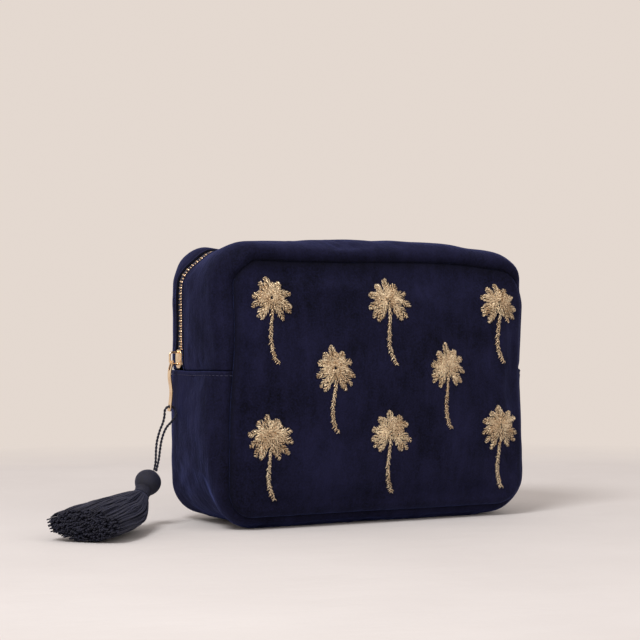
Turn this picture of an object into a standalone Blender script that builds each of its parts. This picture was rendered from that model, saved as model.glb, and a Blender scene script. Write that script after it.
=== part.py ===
"""Zippered pouch: a padded box bag of velvet with embroidered palms, a metal zip, a pull and a tassel.

Metres, +Z up. The origin is the middle of the base. The front panel faces -Y and the long side runs along X.

Two maps place everything. band_point wraps the gusset, the zip strips, the tapes and the tooth rows round a
rounded rectangle; plate_solid lays the layers of the front and back panels behind one another.
"""

import math

import bmesh
import bpy
import numpy as np
from mathutils import Vector

# ---- sizes of the bag -------------------------------------------------------------------------------
SEAM_WIDTH = 0.201
SEAM_HEIGHT = 0.150
SEAM_RADIUS = 0.016
BASE_DEPTH = 0.086
FRONT_LEAN = 0.0025  # how far the front seam's top stands behind its foot
BACK_LEAN = 0.0055  # how far the back seam's top stands in front of its foot

BOTTOM_PUFF = 0.007  # how far the gusset stands out from the seam line, on each side
SIDE_PUFF = 0.006
TOP_PUFF = 0.011
ROLL = 0.014  # depth over which the gusset rolls up from a seam
ZIP_DIP = 0.0055  # how far the top sinks along the zip
CORNER_DIP = 0.0025  # what the two top corners sink further
DIP_WIDTH = 0.020
FRONT_BULGE = 0.007
BACK_BULGE = 0.004

# ---- layers of the wall -----------------------------------------------------------------------------
VELVET = 0.0012
WADDING = 0.0035
LINING = 0.0005
TAPE = 0.0005
GAP = 0.0003

# ---- where it opens ---------------------------------------------------------------------------------
ZIP_SHARE = 0.72  # the zip's place across the depth, from the front
SIDE_SEAM_Z = 0.092  # where the zip strips meet the lower gusset
MOUTH_Z = 0.079  # the fold that the open mouth turns about

# ---- zip --------------------------------------------------------------------------------------------
TOOTH_PITCH = 0.0030
TOOTH_LENGTH = 0.0009
SPINE_IN = 0.0010  # a tooth row's spine, measured out from the zip's middle
SPINE_OUT = 0.0026
TOOTH_REACH = 0.0007  # how far a tooth reaches past the middle
CHAIN_TOP = 0.00055  # the chain's faces, measured in from the velvet's face
CHAIN_THICK = 0.0024
TAPE_WIDTH = 0.0092
SLOT_HALF = 0.0042  # from the zip's middle to the velvet's folded edge

SLIDER_LENGTH = 0.0112
SLIDER_PLATE = 0.0008
SLIDER_NOSE = 0.0026  # half width at the end where the closed chain leaves
SLIDER_FLANGE = 0.0010
SLIDER_SHOULDER = 0.0022  # from the end where the closed chain leaves to the full width
SLIDER_TAPER = 0.0030  # from the other end to the full width
POST_LENGTH = 0.0042
POST_HALF = 0.0008
BAIL_WIRE = 0.0013
BAIL_HEIGHT = 0.0055  # from the slider's face to the middle of the bail's outer run
BAIL_SPAN = 0.0071  # between the middles of its legs
BAIL_SHIFT = 0.0006  # how far the bail's middle stands above the slider's

PULL_LENGTH = 0.0300
PULL_WIDTH = 0.0040
PULL_THICK = 0.0012
EYE_PLAY = 0.00035  # on each side of the bail's wire, in the slot at the pull's top
RAIL_PLAY = 0.00045  # between the bail's wire and the pull's top rail
PULL_EYE_LENGTH = 0.0050
PULL_BEND = ((0.008, 0.0018), (0.018, 0.0007))  # the S bend: how far down, and how far out there
PULL_FOOT_OUT = 0.0015  # how far out the cord's hole is
PULL_TIP_OUT = 0.0021
CUTTER_REACH = 0.006  # how far the pull's cutters stand out on each side of it
CORD_HOLE_UP = 0.0030  # from the pull's foot to the middle of its hole
CORD_DIAMETER = 0.0016

# ---- tassel -----------------------------------------------------------------------------------------
HEAD_PLACE = (-0.1287, 0.0127, 0.0258)
HEAD_RADIUS = 0.0077
HEAD_AXIS = (-0.62, -0.50, -0.60)  # from the head towards the threads
NECK_RADIUS = 0.0052
NECK_LENGTH = 0.0040
SKIRT_TIP = (-0.195, -0.042)
SKIRT_SPREAD = 0.020
SKIRT_END_HEIGHT = 0.0085  # half the height of the cut end
SKIRT_CROWN = 0.0020
FLOOR_CLEARANCE = 0.0004

# ---- embroidery -------------------------------------------------------------------------------------
PALM_PITCH = 0.079
PALM_SHIFT = 0.002
PALM_TOPS = (0.1465, 0.1065, 0.0690)
PALM_HEIGHT = 0.0500
CROWN_HEIGHT = 0.0245
CROWN_WIDTH = 0.0245
CROWN_LOBES = 7
TRUNK_WIDTH = 0.0040
TRUNK_BOW = 0.0012  # how far the stem bows to the left
TRUNK_TURN = 2.4  # the angle that its bow covers, in radians
TRUNK_KICK = 0.0030  # how far its foot kicks to the right
THREAD_RELIEF = 0.0010

# ---- what follows from the sizes --------------------------------------------------------------------
SEAM_LOW = BOTTOM_PUFF
SEAM_TOP = SEAM_LOW + SEAM_HEIGHT
SEAM_MIDDLE = (SEAM_LOW + SEAM_TOP) / 2
FLAT = SEAM_WIDTH / 2 - SEAM_RADIUS
UPRIGHT = SEAM_HEIGHT - 2 * SEAM_RADIUS
QUARTER = math.pi / 2 * SEAM_RADIUS
PERIMETER = 4 * (FLAT + QUARTER) + 2 * UPRIGHT

VELVET_BACK = VELVET + GAP  # where the layer behind the velvet starts
WADDING_BACK = VELVET_BACK + WADDING + GAP
LINING_BACK = WADDING_BACK + LINING + GAP
TAPE_FACE = VELVET + GAP
STRIP_LINING_FACE = TAPE_FACE + TAPE + GAP
CHANNEL_HALF = SPINE_OUT + GAP
SLIDER_HALF = CHANNEL_HALF + SLIDER_FLANGE
SLIDER_FACE = GAP + SLIDER_PLATE - CHAIN_TOP  # the slider's outer face, out from the velvet's face
SLIDER_Z = SIDE_SEAM_Z + GAP * 3 + SLIDER_LENGTH / 2
PULL_EYE = BAIL_WIRE + 2 * EYE_PLAY
PULL_PIVOT_IN = BAIL_WIRE / 2 + RAIL_PLAY + PULL_THICK / 2  # between the middles of the wire and the rail


# ---- the bag's shape --------------------------------------------------------------------------------
def outline(s):
    """The seam line at arc length s: x, z and its outward normal, from the bottom's middle up the left side.

    The centre that the corners turn about moves along the straights, and the normal turns at the corners.
    """
    steps = np.array([FLAT, QUARTER, UPRIGHT, QUARTER, 2 * FLAT, QUARTER, UPRIGHT, QUARTER, FLAT])
    marks = np.concatenate([[0.0], np.cumsum(steps)])
    low, top = SEAM_LOW + SEAM_RADIUS, SEAM_TOP - SEAM_RADIUS
    s = np.mod(s, PERIMETER)
    cx = np.interp(s, marks, FLAT * np.array([0, -1, -1, -1, -1, 1, 1, 1, 1, 0]))
    cz = np.interp(s, marks, np.array([low, low, low, top, top, top, top, low, low, low]))
    turn = -math.pi / 2 * np.interp(s, marks, np.array([1, 1, 2, 2, 3, 3, 4, 4, 5, 5]))
    nx, nz = np.cos(turn), np.sin(turn)
    return cx + SEAM_RADIUS * nx, cz + SEAM_RADIUS * nz, nx, nz


def left_side(z):
    """Arc length of a height on the left side's straight."""
    return FLAT + QUARTER + z - SEAM_LOW - SEAM_RADIUS


def right_side(z):
    return PERIMETER - left_side(z)


def front_y(z):
    return -BASE_DEPTH / 2 + FRONT_LEAN * z / SEAM_TOP


def back_y(z):
    return BASE_DEPTH / 2 - BACK_LEAN * z / SEAM_TOP


def zip_y(z):
    return front_y(z) + ZIP_SHARE * (back_y(z) - front_y(z))


def puff(nz, from_seam, from_zip):
    """How far the gusset stands out: it rolls up from the seams and sinks along the zip at the top."""
    top = np.maximum(nz, 0) ** 2
    bottom = np.maximum(-nz, 0) ** 2
    height = SIDE_PUFF + (TOP_PUFF - SIDE_PUFF) * top + (BOTTOM_PUFF - SIDE_PUFF) * bottom
    dip = (ZIP_DIP * top + CORNER_DIP * 4 * top * (1 - top)) * np.exp(-((from_zip / DIP_WIDTH) ** 2))
    return np.sin(np.clip(from_seam / ROLL, 0, 1) * math.pi / 2) * (height - dip)


def band_point(s, share, offset, out):
    """A point of the band round the bag: share of the depth plus an offset in metres, and how far out."""
    x, z, nx, nz = outline(s)
    front, back = front_y(z), back_y(z)
    y = front + share * (back - front) + offset
    from_seam = np.minimum(y - front, back - y) - VELVET_BACK
    stand = puff(nz, from_seam, y - zip_y(z)) + out
    return np.stack(np.broadcast_arrays(x + nx * stand, y, z + nz * stand), axis=-1)


def bulge(x, z, most):
    """How far a panel stands out from the plane of its seam: most in the middle, nothing at the seam."""
    across = 1 - (2 * x / SEAM_WIDTH) ** 2
    up = 1 - (2 * (z - SEAM_MIDDLE) / SEAM_HEIGHT) ** 2
    return most * across * up


def half_width(z, inset):
    """Half the width at height z of the seam line moved in by inset."""
    radius = SEAM_RADIUS - inset
    into = np.maximum(np.abs(z - SEAM_MIDDLE) - UPRIGHT / 2, 0)
    return FLAT + np.sqrt(np.maximum(radius**2 - into**2, 0))


def front_face_y(x, z, behind=0.0):
    return front_y(z) - bulge(x, z, FRONT_BULGE) + behind


# ---- making objects ---------------------------------------------------------------------------------
def material(name, colour, roughness, metallic=0.0):
    made = bpy.data.materials.new(name)
    made.use_nodes = True
    shader = made.node_tree.nodes["Principled BSDF"]
    shader.inputs["Base Color"].default_value = (*colour, 1)
    shader.inputs["Roughness"].default_value = roughness
    shader.inputs["Metallic"].default_value = metallic
    made.diffuse_color = (*colour, 1)
    return made


def hinge(name, place):
    """An empty on a joint's axis, which that joint's pieces hang from."""
    empty = bpy.data.objects.new(name, None)
    empty.location = place
    empty.empty_display_size = 0.01
    bpy.context.scene.collection.objects.link(empty)
    return empty


def add_mesh(name, points, faces, finish, parent=None, smooth=True):
    """A closed mesh object, with its faces turned outwards."""
    bm = bmesh.new()
    verts = [bm.verts.new(p) for p in np.asarray(points, float).reshape(-1, 3)]
    for face in faces:
        bm.faces.new([verts[i] for i in face])
    bmesh.ops.recalc_face_normals(bm, faces=bm.faces)
    mesh = bpy.data.meshes.new(name)
    bm.to_mesh(mesh)
    bm.free()
    if smooth:
        mesh.shade_smooth()
        mesh.set_sharp_from_angle(angle=math.radians(40))
    mesh.materials.append(finish)
    made = bpy.data.objects.new(name, mesh)
    bpy.context.scene.collection.objects.link(made)
    if parent:
        made.parent = parent
        made.matrix_parent_inverse.translation = -parent.location
    return made


def grid_solid(name, outer, inner, finish, parent=None):
    """A closed sheet between two grids of points of one shape."""
    rows, columns = outer.shape[:2]
    at = np.arange(rows * columns).reshape(rows, columns)
    below = at + rows * columns
    faces = []
    for layer in (at, below):
        square = [layer[:-1, :-1], layer[1:, :-1], layer[1:, 1:], layer[:-1, 1:]]
        faces += np.stack(square, axis=-1).reshape(-1, 4).tolist()
    edges = [(at[0], below[0]), (at[-1], below[-1]), (at[:, 0], below[:, 0]), (at[:, -1], below[:, -1])]
    for top, foot in edges:
        faces += np.stack([top[:-1], top[1:], foot[1:], foot[:-1]], axis=-1).tolist()
    return add_mesh(name, np.concatenate([outer.reshape(-1, 3), inner.reshape(-1, 3)]), faces, finish, parent)


def loft(name, rings, finish, parent=None, smooth=True):
    """A closed body through rings of as many points each, with a flat end on the first and the last."""
    rings = np.asarray(rings)
    count, around = rings.shape[:2]
    at = np.arange(count * around).reshape(count, around)
    turned = np.roll(at, -1, axis=1)
    faces = np.stack([at[:-1], turned[:-1], turned[1:], at[1:]], axis=-1).reshape(-1, 4).tolist()
    faces += [at[0].tolist(), at[-1].tolist()]
    return add_mesh(name, rings, faces, finish, parent, smooth)


def rings_along(path, radii, sides):
    """Round rings across a path, one for each of its points, turned as little as possible between points."""
    path = [Vector(p) for p in path]
    side = None
    rings = []
    for i, (middle, radius) in enumerate(zip(path, radii)):
        along = (path[min(i + 1, len(path) - 1)] - path[max(i - 1, 0)]).normalized()
        side = along.orthogonal() if side is None else side - along * side.dot(along)
        side.normalize()
        up = along.cross(side)
        turns = [2 * math.pi * k / sides for k in range(sides)]
        rings.append([middle + radius * (math.cos(t) * side + math.sin(t) * up) for t in turns])
    return rings


def smooth_through(points, steps):
    """A smooth curve through hand-set points, by Catmull and Rom's rule, with so many steps between two."""
    points = [Vector(p) for p in points]
    ends = [2 * points[0] - points[1], *points, 2 * points[-1] - points[-2]]
    curve = []
    for a, b, c, d in zip(ends, ends[1:], ends[2:], ends[3:]):
        for k in range(steps):
            t = k / steps
            curve.append(
                b + 0.5 * t * ((c - a) + t * ((2 * a - 5 * b + 4 * c - d) + t * (3 * (b - c) + d - a)))
            )
    return curve + [points[-1]]


# ---- panels -----------------------------------------------------------------------------------------
PLATE_COLUMNS = 13
CORNER_ROWS = 4
STRAIGHT_ROWS = 6


def plate_solid(name, side, layer, part, finish, parent):
    """One layer of half a panel. side is -1 for the front; layer is (inset, near face, far face)."""
    inset, near, far = layer
    low, high = SEAM_LOW + inset, SEAM_TOP - inset
    ends = {"lower": (low, MOUTH_Z - GAP / 2), "upper": (MOUTH_Z + GAP / 2, high)}[part]
    into = SEAM_RADIUS * (1 - np.cos(np.linspace(0, math.pi / 2, CORNER_ROWS + 1)))
    middle = np.linspace(SEAM_LOW + SEAM_RADIUS, SEAM_TOP - SEAM_RADIUS, STRAIGHT_ROWS + 1)[1:-1]
    levels = np.concatenate([SEAM_LOW + into, middle, SEAM_TOP - into])
    levels = levels[(levels > ends[0] + 0.0012) & (levels < ends[1] - 0.0012)]
    z = np.sort(np.concatenate([levels, ends]))[:, None]
    across = np.sin(np.linspace(-1, 1, PLATE_COLUMNS) * math.pi / 2)[None, :]
    x = across * half_width(z, inset)
    z = np.broadcast_to(z, x.shape)
    most, seam = (FRONT_BULGE, front_y(z)) if side < 0 else (BACK_BULGE, back_y(z))
    face = seam + side * bulge(x, z, most)
    grids = [np.stack([x, face - side * depth, z], axis=-1) for depth in (near, far)]
    return grid_solid(name, *grids, finish, parent)


def make_panels(velvet, wadding, lining, parents):
    layers = {
        "panel": ((0.0, 0.0, VELVET), velvet),
        "wadding": ((VELVET_BACK, VELVET_BACK, VELVET_BACK + WADDING), wadding),
        "lining": ((WADDING_BACK, WADDING_BACK, WADDING_BACK + LINING), lining),
    }
    for side, where in ((-1, "front"), (1, "back")):
        for kind, (layer, finish) in layers.items():
            plate_solid(f"{where}_{kind}_lower", side, layer, "lower", finish, None)
            plate_solid(f"{where}_{kind}_upper", side, layer, "upper", finish, parents[where])


# ---- gusset, strips and tapes -----------------------------------------------------------------------
CORNER_STEPS = 8
STRAIGHT_STEP = 0.030
ROLL_ROWS = (0.0, 0.002, 0.005, 0.009, ROLL)
FRONT_STRIP_ROWS = (0.022, 0.010, SLOT_HALF)  # out from the zip's middle
BACK_STRIP_ROWS = (SLOT_HALF, SPINE_OUT + GAP + TAPE_WIDTH / 2)


def stations(first, last):
    """Arc lengths from first to last: close together round the corners, far apart on the straights."""
    steps = [FLAT, QUARTER, UPRIGHT, QUARTER, 2 * FLAT, QUARTER, UPRIGHT, QUARTER, FLAT]
    marks = np.concatenate([[0.0], np.cumsum(steps)])
    found = {first, last}
    for turn in (-PERIMETER, 0.0, PERIMETER):
        for k, length in enumerate(steps):
            count = CORNER_STEPS if k % 2 else max(1, round(length / STRAIGHT_STEP))
            found.update(turn + marks[k] + length * np.arange(count + 1) / count)
    inside = sorted(s for s in found if first + 1e-6 < s < last - 1e-6)
    kept = [first]
    for s in inside:
        if s - kept[-1] > 0.0008 and last - s > 0.0008:
            kept.append(s)
    return np.array([*kept, last])


def band_solid(name, span, rows, faces_out, finish, parent=None):
    """A closed strip of the band: rows are (share, offset) pairs, faces_out its outer and inner faces."""
    s = stations(*span)[:, None]
    share, offset = (np.array([row[k] for row in rows])[None, :] for k in (0, 1))
    grids = [band_point(s, share, offset, out) for out in faces_out]
    return grid_solid(name, *grids, finish, parent)


def rise(start):
    """Rows that follow the roll next to a seam, counted from where a layer starts."""
    return [start + step for step in ROLL_ROWS]


def make_gusset(velvet, wadding, lining):
    """The lower gusset, which runs from one side seam down, along the base and up to the other."""
    span = (-left_side(SIDE_SEAM_Z - GAP / 2), left_side(SIDE_SEAM_Z - GAP / 2))
    layers = {
        "gusset_lower": (VELVET_BACK, (0.0, -VELVET), velvet),
        "gusset_wadding": (WADDING_BACK, (-VELVET_BACK, -VELVET_BACK - WADDING), wadding),
        "gusset_lining": (LINING_BACK, (-WADDING_BACK, -WADDING_BACK - LINING), lining),
    }
    for name, (start, faces_out, finish) in layers.items():
        rows = [(0, d) for d in rise(start)] + [(0.5, 0)] + [(1, -d) for d in rise(start)[::-1]]
        band_solid(name, span, rows, faces_out, finish)


def make_strips(velvet, lining, tape, parents):
    """The velvet strips beside the zip, their linings and the zip's two tapes."""
    span = (left_side(SIDE_SEAM_Z + GAP / 2), right_side(SIDE_SEAM_Z + GAP / 2))
    strip_faces = (0.0, -VELVET)
    lining_faces = (-STRIP_LINING_FACE, -STRIP_LINING_FACE - LINING)
    tape_faces = (-TAPE_FACE, -TAPE_FACE - TAPE)
    tape_edge = SPINE_OUT + GAP

    def front_rows(start):
        return [(0, d) for d in rise(start)] + [(ZIP_SHARE, -d) for d in FRONT_STRIP_ROWS]

    def back_rows(start):
        return [(ZIP_SHARE, d) for d in BACK_STRIP_ROWS] + [(1, -d) for d in rise(start)[3::-1]]

    band_solid("zip_strip_front", span, front_rows(VELVET_BACK), strip_faces, velvet, parents["front"])
    band_solid("zip_strip_back", span, back_rows(VELVET_BACK), strip_faces, velvet, parents["back"])
    band_solid("strip_lining_front", span, front_rows(WADDING_BACK), lining_faces, lining, parents["front"])
    band_solid("strip_lining_back", span, back_rows(WADDING_BACK), lining_faces, lining, parents["back"])
    for side, where in ((-1, "front"), (1, "back")):
        edges = (tape_edge, tape_edge + TAPE_WIDTH / 2, tape_edge + TAPE_WIDTH)
        rows = [(ZIP_SHARE, side * d) for d in edges]
        band_solid(f"zip_tape_{where}", span, rows, tape_faces, tape, parents[where])


# ---- zip --------------------------------------------------------------------------------------------
def make_chain(name, side, first, last, shift, finish, parent):
    """A row of teeth: a square spine along the zip, whose inner face is drawn out into each tooth."""
    count = int((last - first - shift - TOOTH_LENGTH) / TOOTH_PITCH)
    starts = first + shift + TOOTH_PITCH * np.arange(count)
    s = np.stack([starts, starts + TOOTH_LENGTH], axis=1).ravel()
    corners = [(SPINE_IN, 0), (SPINE_OUT, 0), (SPINE_OUT, CHAIN_THICK), (SPINE_IN, CHAIN_THICK)]
    tips = [(-TOOTH_REACH, 0), (-TOOTH_REACH, CHAIN_THICK)]

    def chain_point(across, deep):
        middle = band_point(s, ZIP_SHARE, 0.0, -CHAIN_TOP - deep)
        return middle + np.array([0, side * across, 0])

    points = np.concatenate([np.stack([chain_point(*c) for c in corners + tips], axis=1).reshape(-1, 3)])
    faces = []
    for k in range(len(s) - 1):
        a, b = 6 * k, 6 * (k + 1)
        faces += [[a + i, b + i, b + i + 1, a + i + 1] for i in range(3)]
        if k % 2:
            faces.append([a + 3, b + 3, b, a])
            continue
        faces += [[a, b, b + 4, a + 4], [a + 4, b + 4, b + 5, a + 5], [a + 5, b + 5, b + 3, a + 3]]
        faces += [[a, a + 4, a + 5, a + 3], [b, b + 4, b + 5, b + 3]]
    end = 6 * (len(s) - 1)
    faces += [[0, 1, 2, 3], [end, end + 1, end + 2, end + 3]]
    add_mesh(name, points, faces, finish, parent, smooth=False)


def slider_frame():
    """The slider's middle on the velvet's face, and its directions: up the chain, to the front, outwards."""
    middle = Vector(band_point(left_side(SLIDER_Z), ZIP_SHARE, 0.0, 0.0))
    up = Vector((0, zip_y(1.0) - zip_y(0.0), 1)).normalized()
    out = Vector((-1, 0, 0))
    return middle, up, up.cross(out), out


def slider_place(up_by, across_by, out_by):
    middle, up, across, out = slider_frame()
    return middle + up * up_by + across * across_by + out * out_by


def pull_pivot():
    """The middle of the pull's top rail, inside the bail's lower outer corner."""
    up_by = -BAIL_SPAN / 2 + BAIL_SHIFT + PULL_PIVOT_IN
    return slider_place(up_by, 0, SLIDER_FACE + BAIL_HEIGHT - PULL_PIVOT_IN)


def prism(name, shape, low, high, finish, parent=None):
    """A shape drawn in the slider's plane as (across, up) points, from low to high out of the velvet."""
    ring = [[slider_place(u, a, out) for a, u in shape] for out in (low, high)]
    return loft(name, ring, finish, parent, smooth=False)


def cut(target, cutter):
    cutter.hide_render = True
    cutter.display_type = "WIRE"
    step = target.modifiers.new(cutter.name, "BOOLEAN")
    step.operation = "DIFFERENCE"
    step.solver = "EXACT"
    step.object = cutter


def make_slider(brass, parent):
    """Two plates joined by the post, with flanges at the sides, a channel inside and a slot for each tape."""
    top, foot = SLIDER_LENGTH / 2, -SLIDER_LENGTH / 2
    chain_foot = -CHAIN_TOP - CHAIN_THICK
    shape = [
        (-SLIDER_NOSE * 0.8, top),
        (SLIDER_NOSE * 0.8, top),
        (SLIDER_HALF, top - SLIDER_SHOULDER),
        (SLIDER_HALF, foot + SLIDER_TAPER),
        (SLIDER_NOSE * 0.7, foot),
        (-SLIDER_NOSE * 0.7, foot),
        (-SLIDER_HALF, foot + SLIDER_TAPER),
        (-SLIDER_HALF, top - SLIDER_SHOULDER),
    ]
    body = prism("slider_body", shape, chain_foot - GAP - SLIDER_PLATE, SLIDER_FACE, brass, parent)
    past = 0.001
    channel = [
        (-CHANNEL_HALF, top + past),
        (-CHANNEL_HALF, foot - past),
        (-POST_HALF, foot - past),
        (-POST_HALF, foot + POST_LENGTH * 0.7),
        (0, foot + POST_LENGTH),
        (POST_HALF, foot + POST_LENGTH * 0.7),
        (POST_HALF, foot - past),
        (CHANNEL_HALF, foot - past),
        (CHANNEL_HALF, top + past),
    ]
    cut(body, prism("channel_cutter", channel, chain_foot - GAP, -CHAIN_TOP + GAP, brass, parent))
    for side, word in ((-1, "back"), (1, "front")):
        near, wide = side * (CHANNEL_HALF - GAP), side * (SLIDER_HALF + past)
        slot = [(near, foot - past), (wide, foot - past), (wide, top + past), (near, top + past)]
        cut(body, prism(f"slot_cutter_{word}", slot, -TAPE_FACE - TAPE - GAP, -TAPE_FACE + GAP, brass, parent))


def make_bail(brass, parent):
    """The wire arch on the slider's face, with quarter-round corners about the pull's top rail."""
    leg_low = -BAIL_SPAN / 2 + BAIL_SHIFT
    leg_high = leg_low + BAIL_SPAN
    run = SLIDER_FACE + BAIL_HEIGHT
    turn = PULL_PIVOT_IN
    path = [(leg_high, SLIDER_FACE + GAP)]
    for centre, start in ((leg_high - turn, 0.0), (leg_low + turn, math.pi / 2)):
        for k in range(5):
            angle = start + k * math.pi / 8
            path.append((centre + turn * math.cos(angle), run - turn + turn * math.sin(angle)))
    path.append((leg_low, SLIDER_FACE + GAP))
    places = [slider_place(up, 0, out) for up, out in path]
    loft("slider_bail", rings_along(places, [BAIL_WIRE / 2] * len(places), 10), brass, parent)


def make_pull(brass, parent):
    """A flat bar with an S bend, a long eye at its top that hangs on the bail, and a hole at its foot."""
    bend = [(-PULL_THICK / 2, 0), *PULL_BEND, (PULL_LENGTH - CORD_HOLE_UP, PULL_FOOT_OUT)]
    bend.append((PULL_LENGTH, PULL_TIP_OUT))
    middles = smooth_through([(down, out, 0) for down, out in bend], 3)
    _, _, across, out = slider_frame()
    top = pull_pivot()
    rings = []
    for k, middle in enumerate(middles):
        ahead = middles[min(k + 1, len(middles) - 1)] - middles[max(k - 1, 0)]
        thick = Vector((-ahead.y, ahead.x, 0)).normalized() * PULL_THICK / 2
        ring = []
        for side, face in ((-1, -1), (1, -1), (1, 1), (-1, 1)):
            down, off = middle.x + face * thick.x, middle.y + face * thick.y
            ring.append(top + Vector((0, 0, -down)) + out * off + across * side * PULL_WIDTH / 2)
        rings.append(ring)
    body = loft("pull_bar", rings, brass, parent, smooth=False)
    eye_low = PULL_THICK / 2 + PULL_EYE_LENGTH
    eye = []
    for off in (-CUTTER_REACH, CUTTER_REACH):
        ring = []
        for side, down in ((-1, PULL_THICK / 2), (1, PULL_THICK / 2), (1, eye_low), (-1, eye_low)):
            ring.append(top + Vector((0, 0, -down)) + out * off + across * side * PULL_EYE / 2)
        eye.append(ring)
    cut(body, loft("eye_cutter", eye, brass, parent, smooth=False))
    ends = [cord_hole() + out * off for off in (-CUTTER_REACH, CUTTER_REACH)]
    radius = CORD_DIAMETER / 2 + GAP
    cut(body, loft("cord_hole_cutter", rings_along(ends, [radius, radius], 12), brass, parent, smooth=False))


def cord_hole():
    """The middle of the hole at the pull's foot, which the tassel's cord passes through."""
    return pull_pivot() + Vector((0, 0, -(PULL_LENGTH - CORD_HOLE_UP))) + slider_frame()[3] * PULL_FOOT_OUT


# ---- tassel -----------------------------------------------------------------------------------------
CORD_ROUTE = [
    (-0.1241, 0.0136, 0.0328),
    (-0.1231, 0.0139, 0.0380),
    (-0.1226, 0.0144, 0.0450),
    (-0.1216, 0.0149, 0.0506),
    (-0.1196, 0.0155, 0.0562),
    (-0.1174, 0.0162, 0.0604),
    (-0.1161, 0.0167, 0.0645),
    (-0.1157, 0.0169, 0.0680),
    (-0.1143, 0.0169, 0.0697),
    (-0.1124, 0.0169, 0.0703),
    (-0.1104, 0.0169, 0.0697),
    (-0.1089, 0.0168, 0.0677),
    (-0.1092, 0.0161, 0.0644),
    (-0.1122, 0.0149, 0.0612),
    (-0.1158, 0.0139, 0.0582),
    (-0.1183, 0.0130, 0.0545),
    (-0.1200, 0.0125, 0.0500),
    (-0.1210, 0.0121, 0.0455),
    (-0.1220, 0.0118, 0.0395),
    (-0.1238, 0.0116, 0.0324),
]


def make_cord(thread, parent):
    """The tassel's cord: from its head up through the pull's hole and back down to the head."""
    points = smooth_through(CORD_ROUTE, 2)
    curve = bpy.data.curves.new("tassel_cord", "CURVE")
    curve.dimensions = "3D"
    curve.bevel_depth = CORD_DIAMETER / 2
    curve.bevel_resolution = 2
    curve.use_fill_caps = True
    spline = curve.splines.new("POLY")
    spline.points.add(len(points) - 1)
    for spot, place in zip(spline.points, points):
        spot.co = (*place, 1)
    curve.materials.append(thread)
    made = bpy.data.objects.new("tassel_cord", curve)
    bpy.context.scene.collection.objects.link(made)
    made.parent = parent
    made.matrix_parent_inverse.translation = -parent.location


def make_tassel(thread, parent):
    """A thread-covered ball, the binding below it, and the cut threads fanned out on the floor."""
    middle, axis = Vector(HEAD_PLACE), Vector(HEAD_AXIS).normalized()
    angles = [math.pi * (k + 0.5) / 8 for k in range(8)]
    path = [middle - axis * HEAD_RADIUS * math.cos(t) for t in angles]
    radii = [HEAD_RADIUS * math.sin(t) for t in angles]
    loft("tassel_head", rings_along(path, radii, 14), thread, parent)
    neck_start = HEAD_RADIUS + GAP
    path = [middle + axis * (neck_start + NECK_LENGTH * k / 3) for k in range(4)]
    loft("tassel_neck", rings_along(path, [NECK_RADIUS * f for f in (0.9, 1, 1, 0.9)], 14), thread, parent)
    make_skirt(thread, parent, middle + axis * (neck_start + NECK_LENGTH + GAP), axis)


def make_skirt(thread, parent, start, axis):
    """Oval rings from the neck to the tip, wider and lower as the threads come down to the floor."""
    run = Vector((SKIRT_TIP[0] - start.x, SKIRT_TIP[1] - start.y, 0))
    drop = start.z - NECK_RADIUS - FLOOR_CLEARANCE
    rings = []
    for k in range(9):
        t = k / 8
        wide = NECK_RADIUS + (SKIRT_SPREAD - NECK_RADIUS) * math.sin(t * math.pi / 2)
        tall = NECK_RADIUS * (1 - t) + SKIRT_END_HEIGHT * t + SKIRT_CROWN * math.sin(t * math.pi)
        middle = Vector((start.x, start.y, 0)) + run * t
        middle.z = FLOOR_CLEARANCE + tall + drop * (1 - t) ** 3
        along = (axis * (1 - t) + run.normalized() * t).normalized()
        side = along.cross(Vector((0, 0, 1))).normalized()
        up = side.cross(along) * tall
        turns = [2 * math.pi * j / 16 for j in range(16)]
        rings.append([middle + side * wide * math.cos(a) + up * math.sin(a) for a in turns])
    loft("tassel_skirt", rings, thread, parent)


# ---- embroidery -------------------------------------------------------------------------------------
def on_panel(x, z, proud):
    return np.stack([x, front_face_y(x, z, -GAP - proud), z], axis=-1)


def make_crown(name, x, z, finish, parent):
    """A low cushion of stitches with one lobe for each frond, which follows the panel's bulge."""
    sides = 3 * CROWN_LOBES
    turn = 2 * math.pi * np.arange(sides) / sides + math.pi / 2
    reach = 0.86 + 0.14 * np.cos(CROWN_LOBES * (turn - math.pi / 2))
    px = x + np.concatenate([[0], *[f * reach * CROWN_WIDTH / 2 * np.cos(turn) for f in (0.55, 1)]])
    pz = z + np.concatenate([[0], *[f * reach * CROWN_HEIGHT / 2 * np.sin(turn) for f in (0.55, 1)]])
    proud = np.concatenate([[THREAD_RELIEF], np.full(sides, THREAD_RELIEF), np.full(sides, THREAD_RELIEF / 3)])
    points = np.concatenate([on_panel(px, pz, proud), on_panel(px, pz, 0 * proud)])
    half = len(px)
    faces = []
    for k in range(sides):
        a, b = 1 + k, 1 + (k + 1) % sides
        c, d = a + sides, b + sides
        faces += [[0, a, b], [a, c, d, b], [half, half + b, half + a], [half + a, half + b, half + d, half + c]]
        faces.append([c, half + c, half + d, d])
    add_mesh(name, points, faces, finish, parent)


def trunk_sway(down):
    """The trunk's sideways curve at a share of its length from the top: out to the left and back right."""
    return TRUNK_KICK * down**4 - TRUNK_BOW * math.sin(TRUNK_TURN * down)


def make_trunk(name, x, top, foot, shares, finish, parent):
    """The stem below the crown, or what of it lies below the mouth's fold."""
    rings = []
    for share in np.linspace(*shares, 6):
        z = top + (foot - top) * share
        middle = x + trunk_sway(share)
        half = TRUNK_WIDTH / 2 * (1 + 0.25 * share)
        edges = [(-half, 0.0), (half, 0.0), (half * 0.6, THREAD_RELIEF), (-half * 0.6, THREAD_RELIEF)]
        rings.append([on_panel(np.array(middle + dx), np.array(z), proud) for dx, proud in edges])
    loft(name, rings, finish, parent)


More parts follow.
